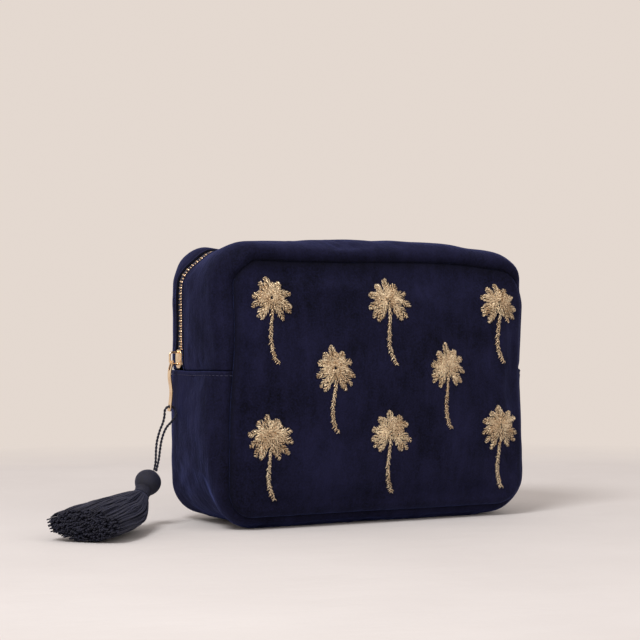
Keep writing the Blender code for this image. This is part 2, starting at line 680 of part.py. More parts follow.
def make_palms(gold, front):
    """Three rows of palms: the lowest below the mouth's fold, the top one above it, the middle one across."""
    number = 0
    for top, places in zip(PALM_TOPS, ((-1, 0, 1), (-0.5, 0.5), (-1, 0, 1))):
        for place in places:
            number += 1
            x = PALM_SHIFT + place * PALM_PITCH
            crown_z = top - CROWN_HEIGHT / 2
            stem_top, foot = top - CROWN_HEIGHT - GAP, top - PALM_HEIGHT
            above = stem_top > MOUTH_Z
            start = max(0.0, (stem_top - MOUTH_Z + 2 * GAP) / (stem_top - foot)) if foot < MOUTH_Z else 0.0
            crown_parent = front if above else None
            stem_parent = front if foot > MOUTH_Z else None
            make_crown(f"palm_crown_{number}", x, crown_z, gold, crown_parent)
            make_trunk(f"palm_trunk_{number}", x, stem_top, foot, (start, 1.0), gold, stem_parent)


# ---- the whole pouch --------------------------------------------------------------------------------
def main():
    for old in list(bpy.data.objects):
        bpy.data.objects.remove(old, do_unlink=True)

    velvet = material("navy_velvet", (0.012, 0.013, 0.052), 0.85)
    wadding = material("white_wadding", (0.80, 0.79, 0.76), 0.95)
    lining = material("navy_lining", (0.020, 0.024, 0.070), 0.6)
    tape = material("navy_zip_tape", (0.014, 0.016, 0.050), 0.8)
    brass = material("gold_metal", (0.83, 0.62, 0.36), 0.3, 1.0)
    gold = material("gold_thread", (0.76, 0.55, 0.29), 0.45, 0.7)
    thread = material("navy_thread", (0.008, 0.009, 0.030), 0.9)

    hinges = {
        "front": hinge("front_mouth_hinge", (0, front_face_y(0, MOUTH_Z), MOUTH_Z)),
        "back": hinge("back_mouth_hinge", (0, back_y(MOUTH_Z) + bulge(0, MOUTH_Z, BACK_BULGE), MOUTH_Z)),
    }
    slider_guide = hinge("slider_guide", slider_place(0, 0, 0))
    pull_hinge = hinge("pull_hinge", pull_pivot())
    tassel_hinge = hinge("tassel_hinge", cord_hole())

    make_panels(velvet, wadding, lining, hinges)
    make_gusset(velvet, wadding, lining)
    make_strips(velvet, lining, tape, hinges)
    first = left_side(SLIDER_Z + SLIDER_LENGTH / 2 + GAP)
    last = right_side(SIDE_SEAM_Z + GAP)
    make_chain("zip_chain_front", -1, first, last, 0.0, brass, hinges["front"])
    make_chain("zip_chain_back", 1, first, last, TOOTH_PITCH / 2, brass, hinges["back"])
    make_slider(brass, slider_guide)
    make_bail(brass, slider_guide)
    make_pull(brass, pull_hinge)
    make_cord(thread, tassel_hinge)
    make_tassel(thread, tassel_hinge)
    make_palms(gold, hinges["front"])


main()
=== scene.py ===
"""Looks of the zippered pouch: velvet panels over wadding, stitched palms, a metal zip, a pull and a tassel.

Every surface is a grid or a set of tubes worked out with numpy. The bag's shape is given by two maps, one
for the band round it and one for its panels. settle() then moves every soft piece alike, so that seams stay
joined.
"""

import math

import bpy
import numpy as np
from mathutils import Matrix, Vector


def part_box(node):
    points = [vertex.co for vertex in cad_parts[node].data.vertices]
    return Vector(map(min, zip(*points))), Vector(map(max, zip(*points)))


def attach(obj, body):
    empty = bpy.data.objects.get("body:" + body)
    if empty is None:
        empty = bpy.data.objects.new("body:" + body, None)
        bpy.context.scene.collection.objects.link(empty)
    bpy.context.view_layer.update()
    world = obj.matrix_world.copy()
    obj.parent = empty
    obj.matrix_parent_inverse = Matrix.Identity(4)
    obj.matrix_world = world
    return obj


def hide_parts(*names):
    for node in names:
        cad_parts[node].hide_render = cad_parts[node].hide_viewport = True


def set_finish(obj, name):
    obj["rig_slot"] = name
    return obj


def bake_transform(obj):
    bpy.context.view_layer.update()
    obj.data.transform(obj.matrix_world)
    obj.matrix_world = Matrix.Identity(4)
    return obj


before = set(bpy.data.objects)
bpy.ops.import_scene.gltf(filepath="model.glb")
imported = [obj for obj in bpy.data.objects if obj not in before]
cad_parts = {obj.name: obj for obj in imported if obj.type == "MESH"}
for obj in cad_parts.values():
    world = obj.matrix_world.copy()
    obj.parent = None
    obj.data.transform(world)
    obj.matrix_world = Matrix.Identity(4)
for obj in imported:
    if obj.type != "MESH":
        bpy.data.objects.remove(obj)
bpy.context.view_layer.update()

# ---- sizes of the bag, in metres ---------------------------------------------------------------------
SEAM_WIDTH = 0.201
SEAM_HEIGHT = 0.150
SEAM_RADIUS = 0.016
BASE_DEPTH = 0.086
FRONT_LEAN = 0.0025
BACK_LEAN = 0.0055
BOTTOM_PUFF = 0.007
SIDE_PUFF = 0.006
TOP_PUFF = 0.011
ROLL = 0.014
ZIP_DIP = 0.0055
CORNER_DIP = 0.0025
DIP_WIDTH = 0.020
FRONT_BULGE = 0.007
BACK_BULGE = 0.004
ZIP_SHARE = 0.72
SIDE_SEAM_Z = 0.092

VELVET = 0.0011
WADDING = 0.0033
LINING = 0.0004
WADDING_DEPTH = 0.0015
LINING_DEPTH = 0.0052
STRIP_LINING_DEPTH = 0.0024
PANEL_INSET = 0.0004  # from the seam line to a panel's edge
BAND_INSET = 0.0003  # the same for the band
BAND_ROLL = 0.0042  # radius that the band's edges are rounded by at its seams
SIDE_LEAN = 0.0014  # how far the band's roll leans out over the seam at the sides
TOP_LEAN = 0.0078  # the same along the top
SEAM_DEPTH = 0.0056  # from a panel's plane to where the band starts
TOP_SEAM_DEPTH = 0.0024  # the same along the top

SLOT_HALF = 0.0030  # from the zip's middle to the velvet's folded edge
SLIDER_SLOT = 0.0013  # how much wider it is beside the slider
CHAIN_TOP = 0.0006
TAPE_EDGES = (0.0026, 0.0125)  # a tape's near and far edge, from the zip's middle
TAPE_DROP = 0.0016  # how far a tape lies below the band
TAPE = 0.0005
TOOTH_PITCH = 0.0030
SLIDER_Z = 0.0985
SLIDER_LENGTH = 0.0112
SLIDER_HALF = 0.0040
SLIDER_FACE = 0.00055
SLIDER_BACK = -0.00415

SEAM_LOW = BOTTOM_PUFF
SEAM_TOP = SEAM_LOW + SEAM_HEIGHT
SEAM_MIDDLE = (SEAM_LOW + SEAM_TOP) / 2
FLAT = SEAM_WIDTH / 2 - SEAM_RADIUS
UPRIGHT = SEAM_HEIGHT - 2 * SEAM_RADIUS
QUARTER = math.pi / 2 * SEAM_RADIUS
PERIMETER = 4 * (FLAT + QUARTER) + 2 * UPRIGHT


# ---- the bag's shape ---------------------------------------------------------------------------------
def outline(s):
    """The seam line at arc length s from the bottom's middle, up the left side: x, z and the outward normal.

    The centre that the corners turn about moves along the straights, and the normal turns at the corners.
    """
    steps = np.array([FLAT, QUARTER, UPRIGHT, QUARTER, 2 * FLAT, QUARTER, UPRIGHT, QUARTER, FLAT])
    marks = np.concatenate([[0.0], np.cumsum(steps)])
    low, top = SEAM_LOW + SEAM_RADIUS, SEAM_TOP - SEAM_RADIUS
    s = np.mod(s, PERIMETER)
    cx = np.interp(s, marks, FLAT * np.array([0, -1, -1, -1, -1, 1, 1, 1, 1, 0]))
    cz = np.interp(s, marks, np.array([low, low, low, top, top, top, top, low, low, low]))
    turn = -math.pi / 2 * np.interp(s, marks, np.array([1, 1, 2, 2, 3, 3, 4, 4, 5, 5]))
    nx, nz = np.cos(turn), np.sin(turn)
    return cx + SEAM_RADIUS * nx, cz + SEAM_RADIUS * nz, nx, nz


def left_side(z):
    """Arc length of a height on the left side's straight."""
    return FLAT + QUARTER + z - SEAM_LOW - SEAM_RADIUS


def right_side(z):
    return PERIMETER - left_side(z)


def front_y(z):
    return -BASE_DEPTH / 2 + FRONT_LEAN * z / SEAM_TOP


def back_y(z):
    return BASE_DEPTH / 2 - BACK_LEAN * z / SEAM_TOP


def middle_y(z):
    return (front_y(z) + back_y(z)) / 2


def zip_y(z):
    return front_y(z) + ZIP_SHARE * (back_y(z) - front_y(z))


def smooth(value, low, high):
    """0 below low, 1 above high, and 3t^2 - 2t^3 between them."""
    t = np.clip((value - low) / (high - low), 0, 1)
    return t * t * (3 - 2 * t)


def fall(distance, radius):
    """How far a round edge of that radius has dropped at a distance from its end: a quarter circle."""
    t = 1 - np.clip(distance / radius, 0, 1)
    return radius * (1 - np.sqrt(1 - t * t))


def hump(value, middle, width):
    """A bell of height 1: exp(-((value - middle) / width)^2)."""
    return np.exp(-(((value - middle) / width) ** 2))


def waves(points, length, seed, count=20):
    """Soft noise about 0: cosine waves of about that length, in random directions, added up."""
    rng = np.random.default_rng(seed)
    towards = rng.normal(size=(count, 3))
    towards /= np.linalg.norm(towards, axis=1, keepdims=True)
    pace = 2 * math.pi / (length * rng.uniform(0.7, 1.4, count))
    phase = rng.uniform(0, 2 * math.pi, count)
    return np.cos(points @ (towards * pace[:, None]).T + phase).sum(-1) / math.sqrt(count / 2)


SLIDER_SPOT = np.array([-0.1065, 0.0169, 0.0985])


def settle(points):
    """Where a soft point comes to rest. It is nothing on the floor and next to the slider.

    Long waves of under a millimetre; a slumped top right corner; a right side that stands out and draws in at
    its top; a low bottom right; a front that stands out at its left edge; a zip that leans forward at the top;
    a high back left corner.
    """
    x, y, z = points[..., 0], points[..., 1], points[..., 2]
    off_floor = smooth(z, 0.002, 0.03)
    off_slider = 1 - np.exp(-(((points - SLIDER_SPOT) ** 2).sum(-1)) / 0.022**2)
    moved = np.stack([waves(points, 0.085, seed) for seed in (3, 4, 5)], axis=-1) * 0.0008
    moved[..., 2] -= 0.0036 * smooth(x, 0.045, 0.105) * smooth(z, 0.115, 0.155)
    spread = 0.0026 - 0.0032 * smooth(z, 0.130, 0.155) + 0.0012 * smooth(-z, -0.035, -0.010)
    moved[..., 0] += spread * smooth(x, 0.065, 0.105)
    moved[..., 2] -= 0.0018 * smooth(x, -0.02, 0.09) * hump(z, 0.010, 0.03)
    moved[..., 0] += 0.0022 * smooth(-x, 0.082, 0.100) * smooth(-y, 0.020, 0.038) * smooth(z, 0.02, 0.06)
    moved[..., 1] -= 0.0060 * smooth(z, 0.134, 0.162) * hump(y - zip_y(z), 0, 0.018) * smooth(-x, -0.02, 0.09)
    moved[..., 2] += 0.0030 * smooth(-x, 0.05, 0.09) * smooth(z, 0.12, 0.155) * smooth(y, -0.01, 0.03)
    return points + moved * (off_floor * off_slider)[..., None]


def along_top(z):
    """1 along the top of the seam line and 0 below its top corners."""
    return smooth(z, SEAM_TOP - SEAM_RADIUS, SEAM_TOP - 0.0015)


def seam_depth(z):
    """How far behind a panel's plane the band starts at a height."""
    return SEAM_DEPTH + (TOP_SEAM_DEPTH - SEAM_DEPTH) * along_top(z)


def puff(nz, from_seam, from_zip):
    """How far the band stands out: it rolls up from the seams and sinks along the zip at the top."""
    top = np.maximum(nz, 0) ** 2
    bottom = np.maximum(-nz, 0) ** 2
    height = SIDE_PUFF + (TOP_PUFF - SIDE_PUFF) * top + (BOTTOM_PUFF - SIDE_PUFF) * bottom
    dip = (ZIP_DIP * top + CORNER_DIP * 4 * top * (1 - top)) * hump(from_zip, 0, DIP_WIDTH)
    return np.sin(np.clip(from_seam / ROLL, 0, 1) * math.pi / 2) * (height - dip)


def band_point(s, y, lift):
    """A point of the band round the bag, before it settles: s along the seam line, y across, lift out."""
    x, z, nx, nz = outline(s)
    from_seam = np.minimum(y - front_y(z), back_y(z) - y) - seam_depth(z)
    stand = puff(nz, from_seam + 0.0012, y - zip_y(z)) + lift - fall(from_seam, BAND_ROLL)
    most = SIDE_LEAN + (TOP_LEAN - SIDE_LEAN) * along_top(z) * (y < middle_y(z))
    lean = most * np.sin(np.clip(from_seam / ROLL, 0, 1) ** 0.6 * math.pi)
    y = y + np.sign(y - middle_y(z)) * lean
    return np.stack(np.broadcast_arrays(x + nx * stand, y, z + nz * stand), axis=-1)


def half_width(z, inset):
    """Half the width at height z of the seam line moved in by inset."""
    radius = SEAM_RADIUS - inset
    into = np.maximum(np.abs(z - SEAM_MIDDLE) - UPRIGHT / 2, 0)
    return FLAT + np.sqrt(np.maximum(radius**2 - into**2, 0))


def from_edge(x, z):
    """Distance in from the seam line of a rounded rectangle: its radius less the distance to its core."""
    dx, dz = np.abs(x) - FLAT, np.abs(z - SEAM_MIDDLE) - UPRIGHT / 2
    corner = np.hypot(np.maximum(dx, 0), np.maximum(dz, 0))
    return SEAM_RADIUS - np.where((dx > 0) & (dz > 0), corner, np.maximum(dx, dz))


def spaced(count):
    """Numbers from -1 to 1 by the sine rule, which is close at both ends."""
    return np.sin(np.linspace(-1, 1, count) * math.pi / 2)


def panel_grid(side, rows, columns, inset, behind):
    """A layer of a panel before it settles, so far in from the seam line and so far behind the face.

    The face stands out by the product of two parabolas, and its edge drops by a quarter circle.
    """
    z = SEAM_MIDDLE + spaced(rows)[:, None] * (SEAM_HEIGHT / 2 - inset)
    x = spaced(columns)[None, :] * half_width(z, inset)
    z = np.broadcast_to(z, x.shape)
    most, seam = (FRONT_BULGE, front_y(z)) if side < 0 else (BACK_BULGE, back_y(z))
    swell = most * (1 - (2 * x / SEAM_WIDTH) ** 2) * (1 - (2 * (z - SEAM_MIDDLE) / SEAM_HEIGHT) ** 2)
    radius = seam_depth(z) - 0.0004
    y = seam + side * (swell - fall(from_edge(x, z) - inset, radius) - behind)
    return np.stack([x, y, z], axis=-1)


# ---- making meshes -----------------------------------------------------------------------------------
def unit(vectors):
    return vectors / np.maximum(np.linalg.norm(vectors, axis=-1, keepdims=True), 1e-12)


def grid_normals(grid):
    """A grid's normals: the cross product of its two directions."""
    return unit(np.cross(np.gradient(grid, axis=1), np.gradient(grid, axis=0)))


def grid_faces(rows, columns, start=0, wrap=False):
    """The squares of a grid of points, as rows of four numbers. wrap joins the last column to the first."""
    at = start + np.arange(rows * columns).reshape(rows, columns)
    if wrap:
        at = np.concatenate([at, at[:, :1]], axis=1)
    return np.stack([at[:-1, :-1], at[:-1, 1:], at[1:, 1:], at[1:, :-1]], axis=-1).reshape(-1, 4)


def closed_rings(rings, around):
    """The faces of a stack of rings, each of so many points, with one flat face at each end."""
    last = (rings - 1) * around
    caps = [list(range(around))[::-1], list(range(last, last + around))]
    return grid_faces(rings, around, wrap=True).tolist() + caps


def add_piece(name, points, faces, finish, slot, shade=True, uv=None):
    """An object at the origin with its place in its mesh. uv gives each point's place on the cloth."""
    mesh = bpy.data.meshes.new(name)
    mesh.from_pydata(np.asarray(points, float).reshape(-1, 3), [], faces)
    if shade:
        mesh.shade_smooth()
    if uv is not None:
        corners = np.empty(len(mesh.loops), int)
        mesh.loops.foreach_get("vertex_index", corners)
        layer = mesh.uv_layers.new(name="cloth")
        layer.data.foreach_set("uv", np.asarray(uv, np.float32).reshape(-1, 2)[corners].ravel())
    mesh.materials.append(finish)
    made = bpy.data.objects.new(name, mesh)
    bpy.context.scene.collection.objects.link(made)
    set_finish(made, slot)
    return made


TUCK = 0.0024


def tucked(grid, inwards):
    """The grid with one more ring round it, moved inwards: the seam allowance, which closes the seam's gap."""
    ringed = np.pad(grid, ((1, 1), (1, 1), (0, 0)), mode="edge")
    move = np.pad(inwards, ((1, 1), (1, 1), (0, 0)), mode="edge") * TUCK
    move[1:-1, 1:-1] = 0
    return ringed + move


def panel_inwards(grid):
    """Towards the core that a rounded rectangle's corners turn about."""
    x, z = grid[..., 0], grid[..., 2] - SEAM_MIDDLE
    dx = np.sign(x) * np.maximum(np.abs(x) - FLAT, 0)
    dz = np.sign(z) * np.maximum(np.abs(z) - UPRIGHT / 2, 0)
    return -unit(np.stack([dx, 0 * dx, dz], axis=-1))


def add_cloth(name, outer, thick, finish, slot, outwards=1, seam_shade=None):
    """A closed cloth: a grid, the same grid moved in along its normals by its thickness, and a rim.

    Its last argument gives how deep in a seam each point lies, from 0 to 1; the velvet darkens by it, which is
    painted shade in the seam's groove.
    """
    rows, columns = outer.shape[:2]
    inner = outer - outwards * grid_normals(outer) * thick
    total = rows * columns
    at = np.arange(total).reshape(rows, columns)
    rim = np.concatenate([at[0, :-1], at[:-1, -1], at[-1, :0:-1], at[:0:-1, 0]])
    onward = np.roll(rim, -1)
    outer_faces = grid_faces(rows, columns)
    inner_faces = grid_faces(rows, columns, total)[:, ::-1]
    wall = np.stack([onward, rim, rim + total, onward + total], axis=-1)
    faces = np.concatenate([outer_faces, inner_faces, wall])
    if outwards < 0:
        faces = faces[:, ::-1]
    along = np.linalg.norm(np.diff(outer, axis=1, prepend=outer[:, :1]), axis=-1).cumsum(1)
    across = np.linalg.norm(np.diff(outer, axis=0, prepend=outer[:1]), axis=-1).cumsum(0)
    uv = np.stack([along, across], axis=-1)
    points = np.concatenate([outer.reshape(-1, 3), inner.reshape(-1, 3)])
    piece = add_piece(name, points, faces, finish, slot, uv=np.concatenate([uv, uv]))
    # the share of painted seam shade is kept on each point for the velvet to read
    if seam_shade is not None:
        seam_shade_values = np.pad(seam_shade, 1, mode="edge").ravel()
        layer = piece.data.attributes.new("seam_shade", "FLOAT", "POINT")
        layer.data.foreach_set("value", np.concatenate([seam_shade_values, seam_shade_values]).astype(np.float32))
    return piece


def frames_along(path, up):
    """Unit tangent, side and up of each point of a path, with up as near as it can be to the one given."""
    tangent = unit(np.gradient(path, axis=-2))
    side = unit(np.cross(tangent, up))
    return tangent, side, np.cross(side, tangent)


def tubes(paths, radii, sides, up):
    """Closed tubes, one for each path: points and faces. radii is one number for each point of each path.

    A ring is the path's point plus radius times (cos a side + sin a up), and each end is one flat face.
    """
    count, steps = paths.shape[:2]
    _, side, above = frames_along(paths, up)
    turn = 2 * math.pi * np.arange(sides) / sides
    ring = np.cos(turn)[:, None] * side[:, :, None] + np.sin(turn)[:, None] * above[:, :, None]
    points = paths[:, :, None] + radii[:, :, None, None] * ring
    one = grid_faces(steps, sides, wrap=True)
    starts = np.arange(count) * steps * sides
    faces = (one[None] + starts[:, None, None]).reshape(-1, 4).tolist()
    first = np.arange(sides)[None] + starts[:, None]
    faces += first[:, ::-1].tolist()
    faces += (first + (steps - 1) * sides).tolist()
    return points.reshape(-1, 3), faces


def lathe(profile, middle, axis, sides, ripple):
    """A turned shape: profile gives (along, radius) pairs, and ripple(share along, turn) scales the radius."""
    axis = unit(np.asarray(axis, float))
    side = unit(np.cross(axis, (0.0, 0.0, 1.0)))
    above = np.cross(side, axis)
    turn = 2 * math.pi * np.arange(sides) / sides
    share = np.linspace(0, 1, len(profile))[:, None]
    radius = profile[:, 1:] * ripple(share, turn[None, :])
    ring = np.cos(turn)[:, None] * side + np.sin(turn)[:, None] * above
    points = np.asarray(middle) + profile[:, :1, None] * axis + radius[..., None] * ring
    return points, closed_rings(len(profile), sides)


def join(parts):
    """Several (points, faces) pairs as one."""
    points, faces, start = [], [], 0
    for spots, some in parts:
        spots = np.asarray(spots, float).reshape(-1, 3)
        points.append(spots)
        faces += [[start + i for i in face] for face in some]
        start += len(spots)
    return np.concatenate(points), faces


def smooth_through(points, steps):
    """A smooth curve through given points, by Catmull and Rom's rule, with so many steps between two."""
    points = np.asarray(points, float)
    ends = np.concatenate([[2 * points[0] - points[1]], points, [2 * points[-1] - points[-2]]])
    t = np.arange(steps)[None, :, None] / steps
    a, b, c, d = (ends[k : len(ends) - 3 + k, None] for k in range(4))
    curve = b + 0.5 * t * ((c - a) + t * ((2 * a - 5 * b + 4 * c - d) + t * (3 * (b - c) + d - a)))
    return np.concatenate([curve.reshape(-1, points.shape[1]), points[-1:]])


# ---- finishes ----------------------------------------------------------------------------------------
class Value:
    """A number in a shader. Sums written on it with + - * / and ** add Math nodes."""

    def __init__(self, finish, socket):
        self.finish, self.socket = finish, socket

    def math(self, operation, *others):
        inputs = dict(enumerate((self, *others)))
        return self.finish.node("ShaderNodeMath", {"operation": operation}, inputs)

    def __add__(self, other):
        return self.math("ADD", other)

    def __mul__(self, other):
        return self.math("MULTIPLY", other)

    def __sub__(self, other):
        return self.math("SUBTRACT", other)

    def __rsub__(self, other):
        return (self * -1) + other

    def __truediv__(self, other):
        return self.math("DIVIDE", other)

    def __pow__(self, other):
        return self.math("POWER", other)

    __radd__, __rmul__ = __add__, __mul__

    def clip(self, low=0.0, high=1.0):
        return self.math("MAXIMUM", low).math("MINIMUM", high)

    def sine(self):
        return self.math("SINE")


class Finish:
    """One material, built node by node round its Principled shader."""

    def __init__(self, name, **settings):
        self.material = bpy.data.materials.new(name)
        self.material.use_nodes = True
        self.tree = self.material.node_tree
        self.shader = self.tree.nodes["Principled BSDF"]
        for socket, value in settings.items():
            self.put(self.shader.inputs[socket.replace("_", " ")], value)

    def put(self, socket, value):
        if isinstance(value, Value):
            self.tree.links.new(value.socket, socket)
        else:
            socket.default_value = value

    def node(self, kind, settings=None, inputs=None, output=0):
        """Any other node: its settings are set first, then the values or links of its sockets."""
        made = self.tree.nodes.new(kind)
        for key, value in (settings or {}).items():
            setattr(made, key, value)
        for key, value in (inputs or {}).items():
            self.put(made.inputs[key], value)
        return Value(self, made.outputs[output])

    def place(self, kind="Object", scale=(1, 1, 1)):
        spot = self.node("ShaderNodeTexCoord", output=kind)
        return self.node("ShaderNodeMapping", None, {"Vector": spot, "Scale": scale})

    def noise(self, place, scale, detail=2.0, roughness=0.5):
        inputs = {"Vector": place, "Scale": scale, "Detail": detail, "Roughness": roughness}
        return self.node("ShaderNodeTexNoise", None, inputs)

    def mix(self, share, first, second):
        """Two colours mixed by a share."""
        return self.node("ShaderNodeMix", {"data_type": "RGBA"}, {0: share, 6: first, 7: second}, 2)

    def spread(self, value, low, high):
        """A value stretched so that low gives 0 and high gives 1."""
        return ((value - low) / (high - low)).clip()

    def bump(self, height, distance, strength=1.0, under=None):
        inputs = {"Height": height, "Distance": distance, "Strength": strength}
        if under is not None:
            inputs["Normal"] = under
        return self.node("ShaderNodeBump", None, inputs)

    def set(self, **sockets):
        for socket, value in sockets.items():
            self.put(self.shader.inputs[socket.replace("_", " ")], value)
        return self.material


def velvet_finish():
    """Cut pile: nearly black navy that goes bluer where the pile leans away, with crush marks. A painted sheen
    mixes in a lighter blue where the cloth is seen at a grazing angle, and painted shade makes it nearly black
    deep in the seams.
    """
    made = Finish(
        "navy_velvet",
        Sheen_Weight=0.22,
        Sheen_Roughness=0.30,
        Sheen_Tint=(0.13, 0.19, 0.70, 1),
        Specular_IOR_Level=0.10,
    )
    place = made.place()
    crush = made.spread(made.noise(place, 34, 5, 0.62), 0.36, 0.64)
    brushed = made.spread(made.noise(made.place(scale=(170, 170, 40)), 1, 4, 0.65), 0.36, 0.66)
    pile = made.noise(place, 1000, 2, 0.6)
    facing = made.node("ShaderNodeLayerWeight", None, {"Blend": 0.35}, "Facing")
    lean = (crush * 0.62 + brushed * 0.38).clip()
    face = made.mix(lean, (0.0007, 0.0006, 0.0025, 1), (0.0070, 0.0070, 0.0270, 1))
    # painted sheen: where the cloth is seen at a grazing angle its colour is mixed towards a lighter blue, on
    # top of the shader's own sheen
    colour = made.mix((facing**2 * (0.45 + lean * 0.5)).clip(), face, (0.020, 0.026, 0.098, 1))
    pile_and_painted_light = made.mix(made.spread(pile, 0.35, 0.75) * 0.38, colour, (0.015, 0.017, 0.062, 1))
    # painted shade: the colour goes nearly black deep in the seams, where the grooves lie in shade
    painted_seam_shade = made.node("ShaderNodeAttribute", {"attribute_name": "seam_shade"}, None, "Fac")
    pile_and_painted_light = made.mix((painted_seam_shade * 0.9).clip(), pile_and_painted_light, (0.0004, 0.0004, 0.0014, 1))
    marks = made.bump(crush + brushed * 0.6, 0.0008, 0.5)
    return made.set(
        Base_Color=pile_and_painted_light,
        Roughness=0.95 - lean * 0.15,
        Normal=made.bump(pile, 0.0004, 0.6, marks),
    )


def thread_finish(name, dark, light, scale, roughness, metallic=0.0, depth=0.0002, **more):
    """Twisted thread: colour and height vary along and across it in fine streaks."""
    made = Finish(name, Metallic=metallic, **more)
    place = made.place()
    streaks = made.spread(made.noise(place, scale, 2, 0.6), 0.34, 0.68)
    patches = made.spread(made.noise(place, scale / 9, 2, 0.5), 0.35, 0.65)
    colour = made.mix((streaks * 0.7 + patches * 0.3).clip(), dark, light)
    return made.set(
        Base_Color=colour, Roughness=roughness + streaks * 0.15, Normal=made.bump(streaks, depth, 0.6)
    )


def gold_metal_finish():
    """Polished light gold plating, with faint wipe marks and a slightly duller film in patches."""
    made = Finish("gold_metal", Metallic=1.0, Coat_Weight=0.15, Coat_Roughness=0.1)
    place = made.place()
    film = made.spread(made.noise(place, 220, 3, 0.6), 0.35, 0.7)
    wipe = made.noise(made.place(scale=(300, 300, 2500)), 1, 2, 0.6)
    colour = made.mix(film, (0.93, 0.73, 0.50, 1), (0.74, 0.52, 0.32, 1))
    return made.set(
        Base_Color=colour, Roughness=0.16 + film * 0.14, Normal=made.bump(wipe, 0.00004, 0.25)
    )


def woven_finish(name, dark, light, pitch, roughness=0.7):
    """Plain weave on the piece's own cloth map: two sets of round threads that take turns on top."""
    made = Finish(name, Sheen_Weight=0.25, Sheen_Roughness=0.4)
    place = made.place("UV")
    split = made.tree.nodes.new("ShaderNodeSeparateXYZ")
    made.put(split.inputs[0], place)
    u, v = (Value(made, split.outputs[k]) * (math.pi / pitch) for k in (0, 1))
    over = (u.sine() * v.sine()).clip(-1, 1)
    height = (u * 2).sine() * over * 0.5 + (v * 2).sine() * (1 - over) * 0.5 + 0.5
    slub = made.spread(made.noise(place, 900, 2, 0.5), 0.3, 0.7)
    # painted shade: the weave is darker where its height is low, between its threads; the slub share adds
    # random tone
    colour = made.mix((height * 0.6 + slub * 0.4).clip(), dark, light)
    return made.set(
        Base_Color=colour, Roughness=roughness + slub * 0.1, Normal=made.bump(height, 0.0001, 0.6)
    )


def wadding_finish():
    """White fluffy wadding: soft clumps and fine fibres."""
    made = Finish("white_wadding", Sheen_Weight=0.4, Subsurface_Weight=0.1)
    place = made.place()
    clump = made.spread(made.noise(place, 120, 3, 0.6), 0.3, 0.7)
    fibre = made.noise(place, 1400, 3, 0.7)
    colour = made.mix(clump, (0.66, 0.65, 0.62, 1), (0.86, 0.85, 0.83, 1))
    return made.set(
        Base_Color=colour, Roughness=0.9 + fibre * 0.1, Normal=made.bump(clump + fibre * 0.4, 0.0008, 0.7)
    )


def plaster_finish():
    """A pale plaster sweep: brush marks near the object, blending with distance into the plain backdrop."""
    made = Finish("plaster", Specular_IOR_Level=0.25)
    place = made.place()
    split = made.tree.nodes.new("ShaderNodeSeparateXYZ")
    made.put(split.inputs[0], place)
    x, y = Value(made, split.outputs[0]), Value(made, split.outputs[1])
    radius = (x * x + y * y) ** 0.5
    cloud = made.noise(place, 5, 5, 0.6)
    ragged = radius + (made.noise(place, 14, 4, 0.6) - 0.5) * 0.10
    far = made.spread(ragged, 0.42, 0.66)
    colour = made.mix(made.spread(cloud, 0.3, 0.7), (0.590, 0.576, 0.586, 1), (0.636, 0.624, 0.636, 1))
    marks = made.noise(made.place(scale=(9, 26, 9)), 1, 6, 0.65)
    made.set(Base_Color=colour, Roughness=0.85, Normal=made.bump(marks, 0.004, 0.35))
    glow = made.node("ShaderNodeEmission", None, {"Color": BACKDROP_COLOUR, "Strength": BACKDROP_LIGHT})
    shade = Value(made, made.shader.outputs[0])
    both = made.node("ShaderNodeMixShader", None, {0: far, 1: shade, 2: glow})
    made.put(made.tree.nodes["Material Output"].inputs[0], both)
    return made.material


BACKDROP_COLOUR = (0.775, 0.690, 0.630, 1)
BACKDROP_LIGHT = 1.0

velvet = velvet_finish()
velvet_thread = thread_finish(
    "navy_sewing_thread", (0.006, 0.006, 0.022, 1), (0.030, 0.032, 0.090, 1), 2600, 0.6
)
tassel_thread = thread_finish(
    "navy_tassel_thread",
    (0.0012, 0.0014, 0.0058, 1),
    (0.0085, 0.0105, 0.0340, 1),
    1700,
    0.68,
    Sheen_Weight=0.16,
    Sheen_Roughness=0.4,
    Sheen_Tint=(0.3, 0.35, 0.7, 1),
)
gold_thread = thread_finish(
    "gold_embroidery_thread",
    (0.30, 0.165, 0.070, 1),
    (1.0, 0.87, 0.64, 1),
    1100,
    0.22,
    metallic=0.80,
    depth=0.00025,
)
gold_metal = gold_metal_finish()
lining_cloth = woven_finish("navy_lining", (0.008, 0.009, 0.030, 1), (0.028, 0.032, 0.085, 1), 0.0005)
tape_cloth = woven_finish("navy_zip_tape", (0.006, 0.007, 0.024, 1), (0.022, 0.024, 0.066, 1), 0.0007)
wadding_fluff = wadding_finish()

# ---- camera, light and stage -------------------------------------------------------------------------
CAMERA_SPOT = (-0.6140, -1.0732, 0.1339)
CAMERA_TURN = math.radians(-29.0)
camera_data = bpy.data.cameras.new("camera")
camera_data.lens, camera_data.sensor_width = 112.5, 36.0
camera_data.shift_y = -20 / 640
camera = bpy.data.objects.new("camera", camera_data)
camera.location = CAMERA_SPOT
camera.rotation_euler = (math.pi / 2, 0, CAMERA_TURN)
bpy.context.scene.collection.objects.link(camera)
bpy.context.scene.camera = camera


def area_light(name, spot, size, power, colour, towards=(0, 0, 0.07)):
    light = bpy.data.lights.new(name, "AREA")
    light.shape, light.size, light.energy, light.color = "DISK", size, power, colour
    lamp = bpy.data.objects.new(name, light)
    lamp.location = spot
    lamp.rotation_euler = (Vector(towards) - Vector(spot)).to_track_quat("-Z", "Y").to_euler()
    bpy.context.scene.collection.objects.link(lamp)


area_light("window", (-1.05, -0.70, 1.45), 0.7, 23, (1.0, 0.97, 0.94))
area_light("fill", (0.9, -1.6, 1.2), 1.4, 4, (1.0, 0.97, 0.94))

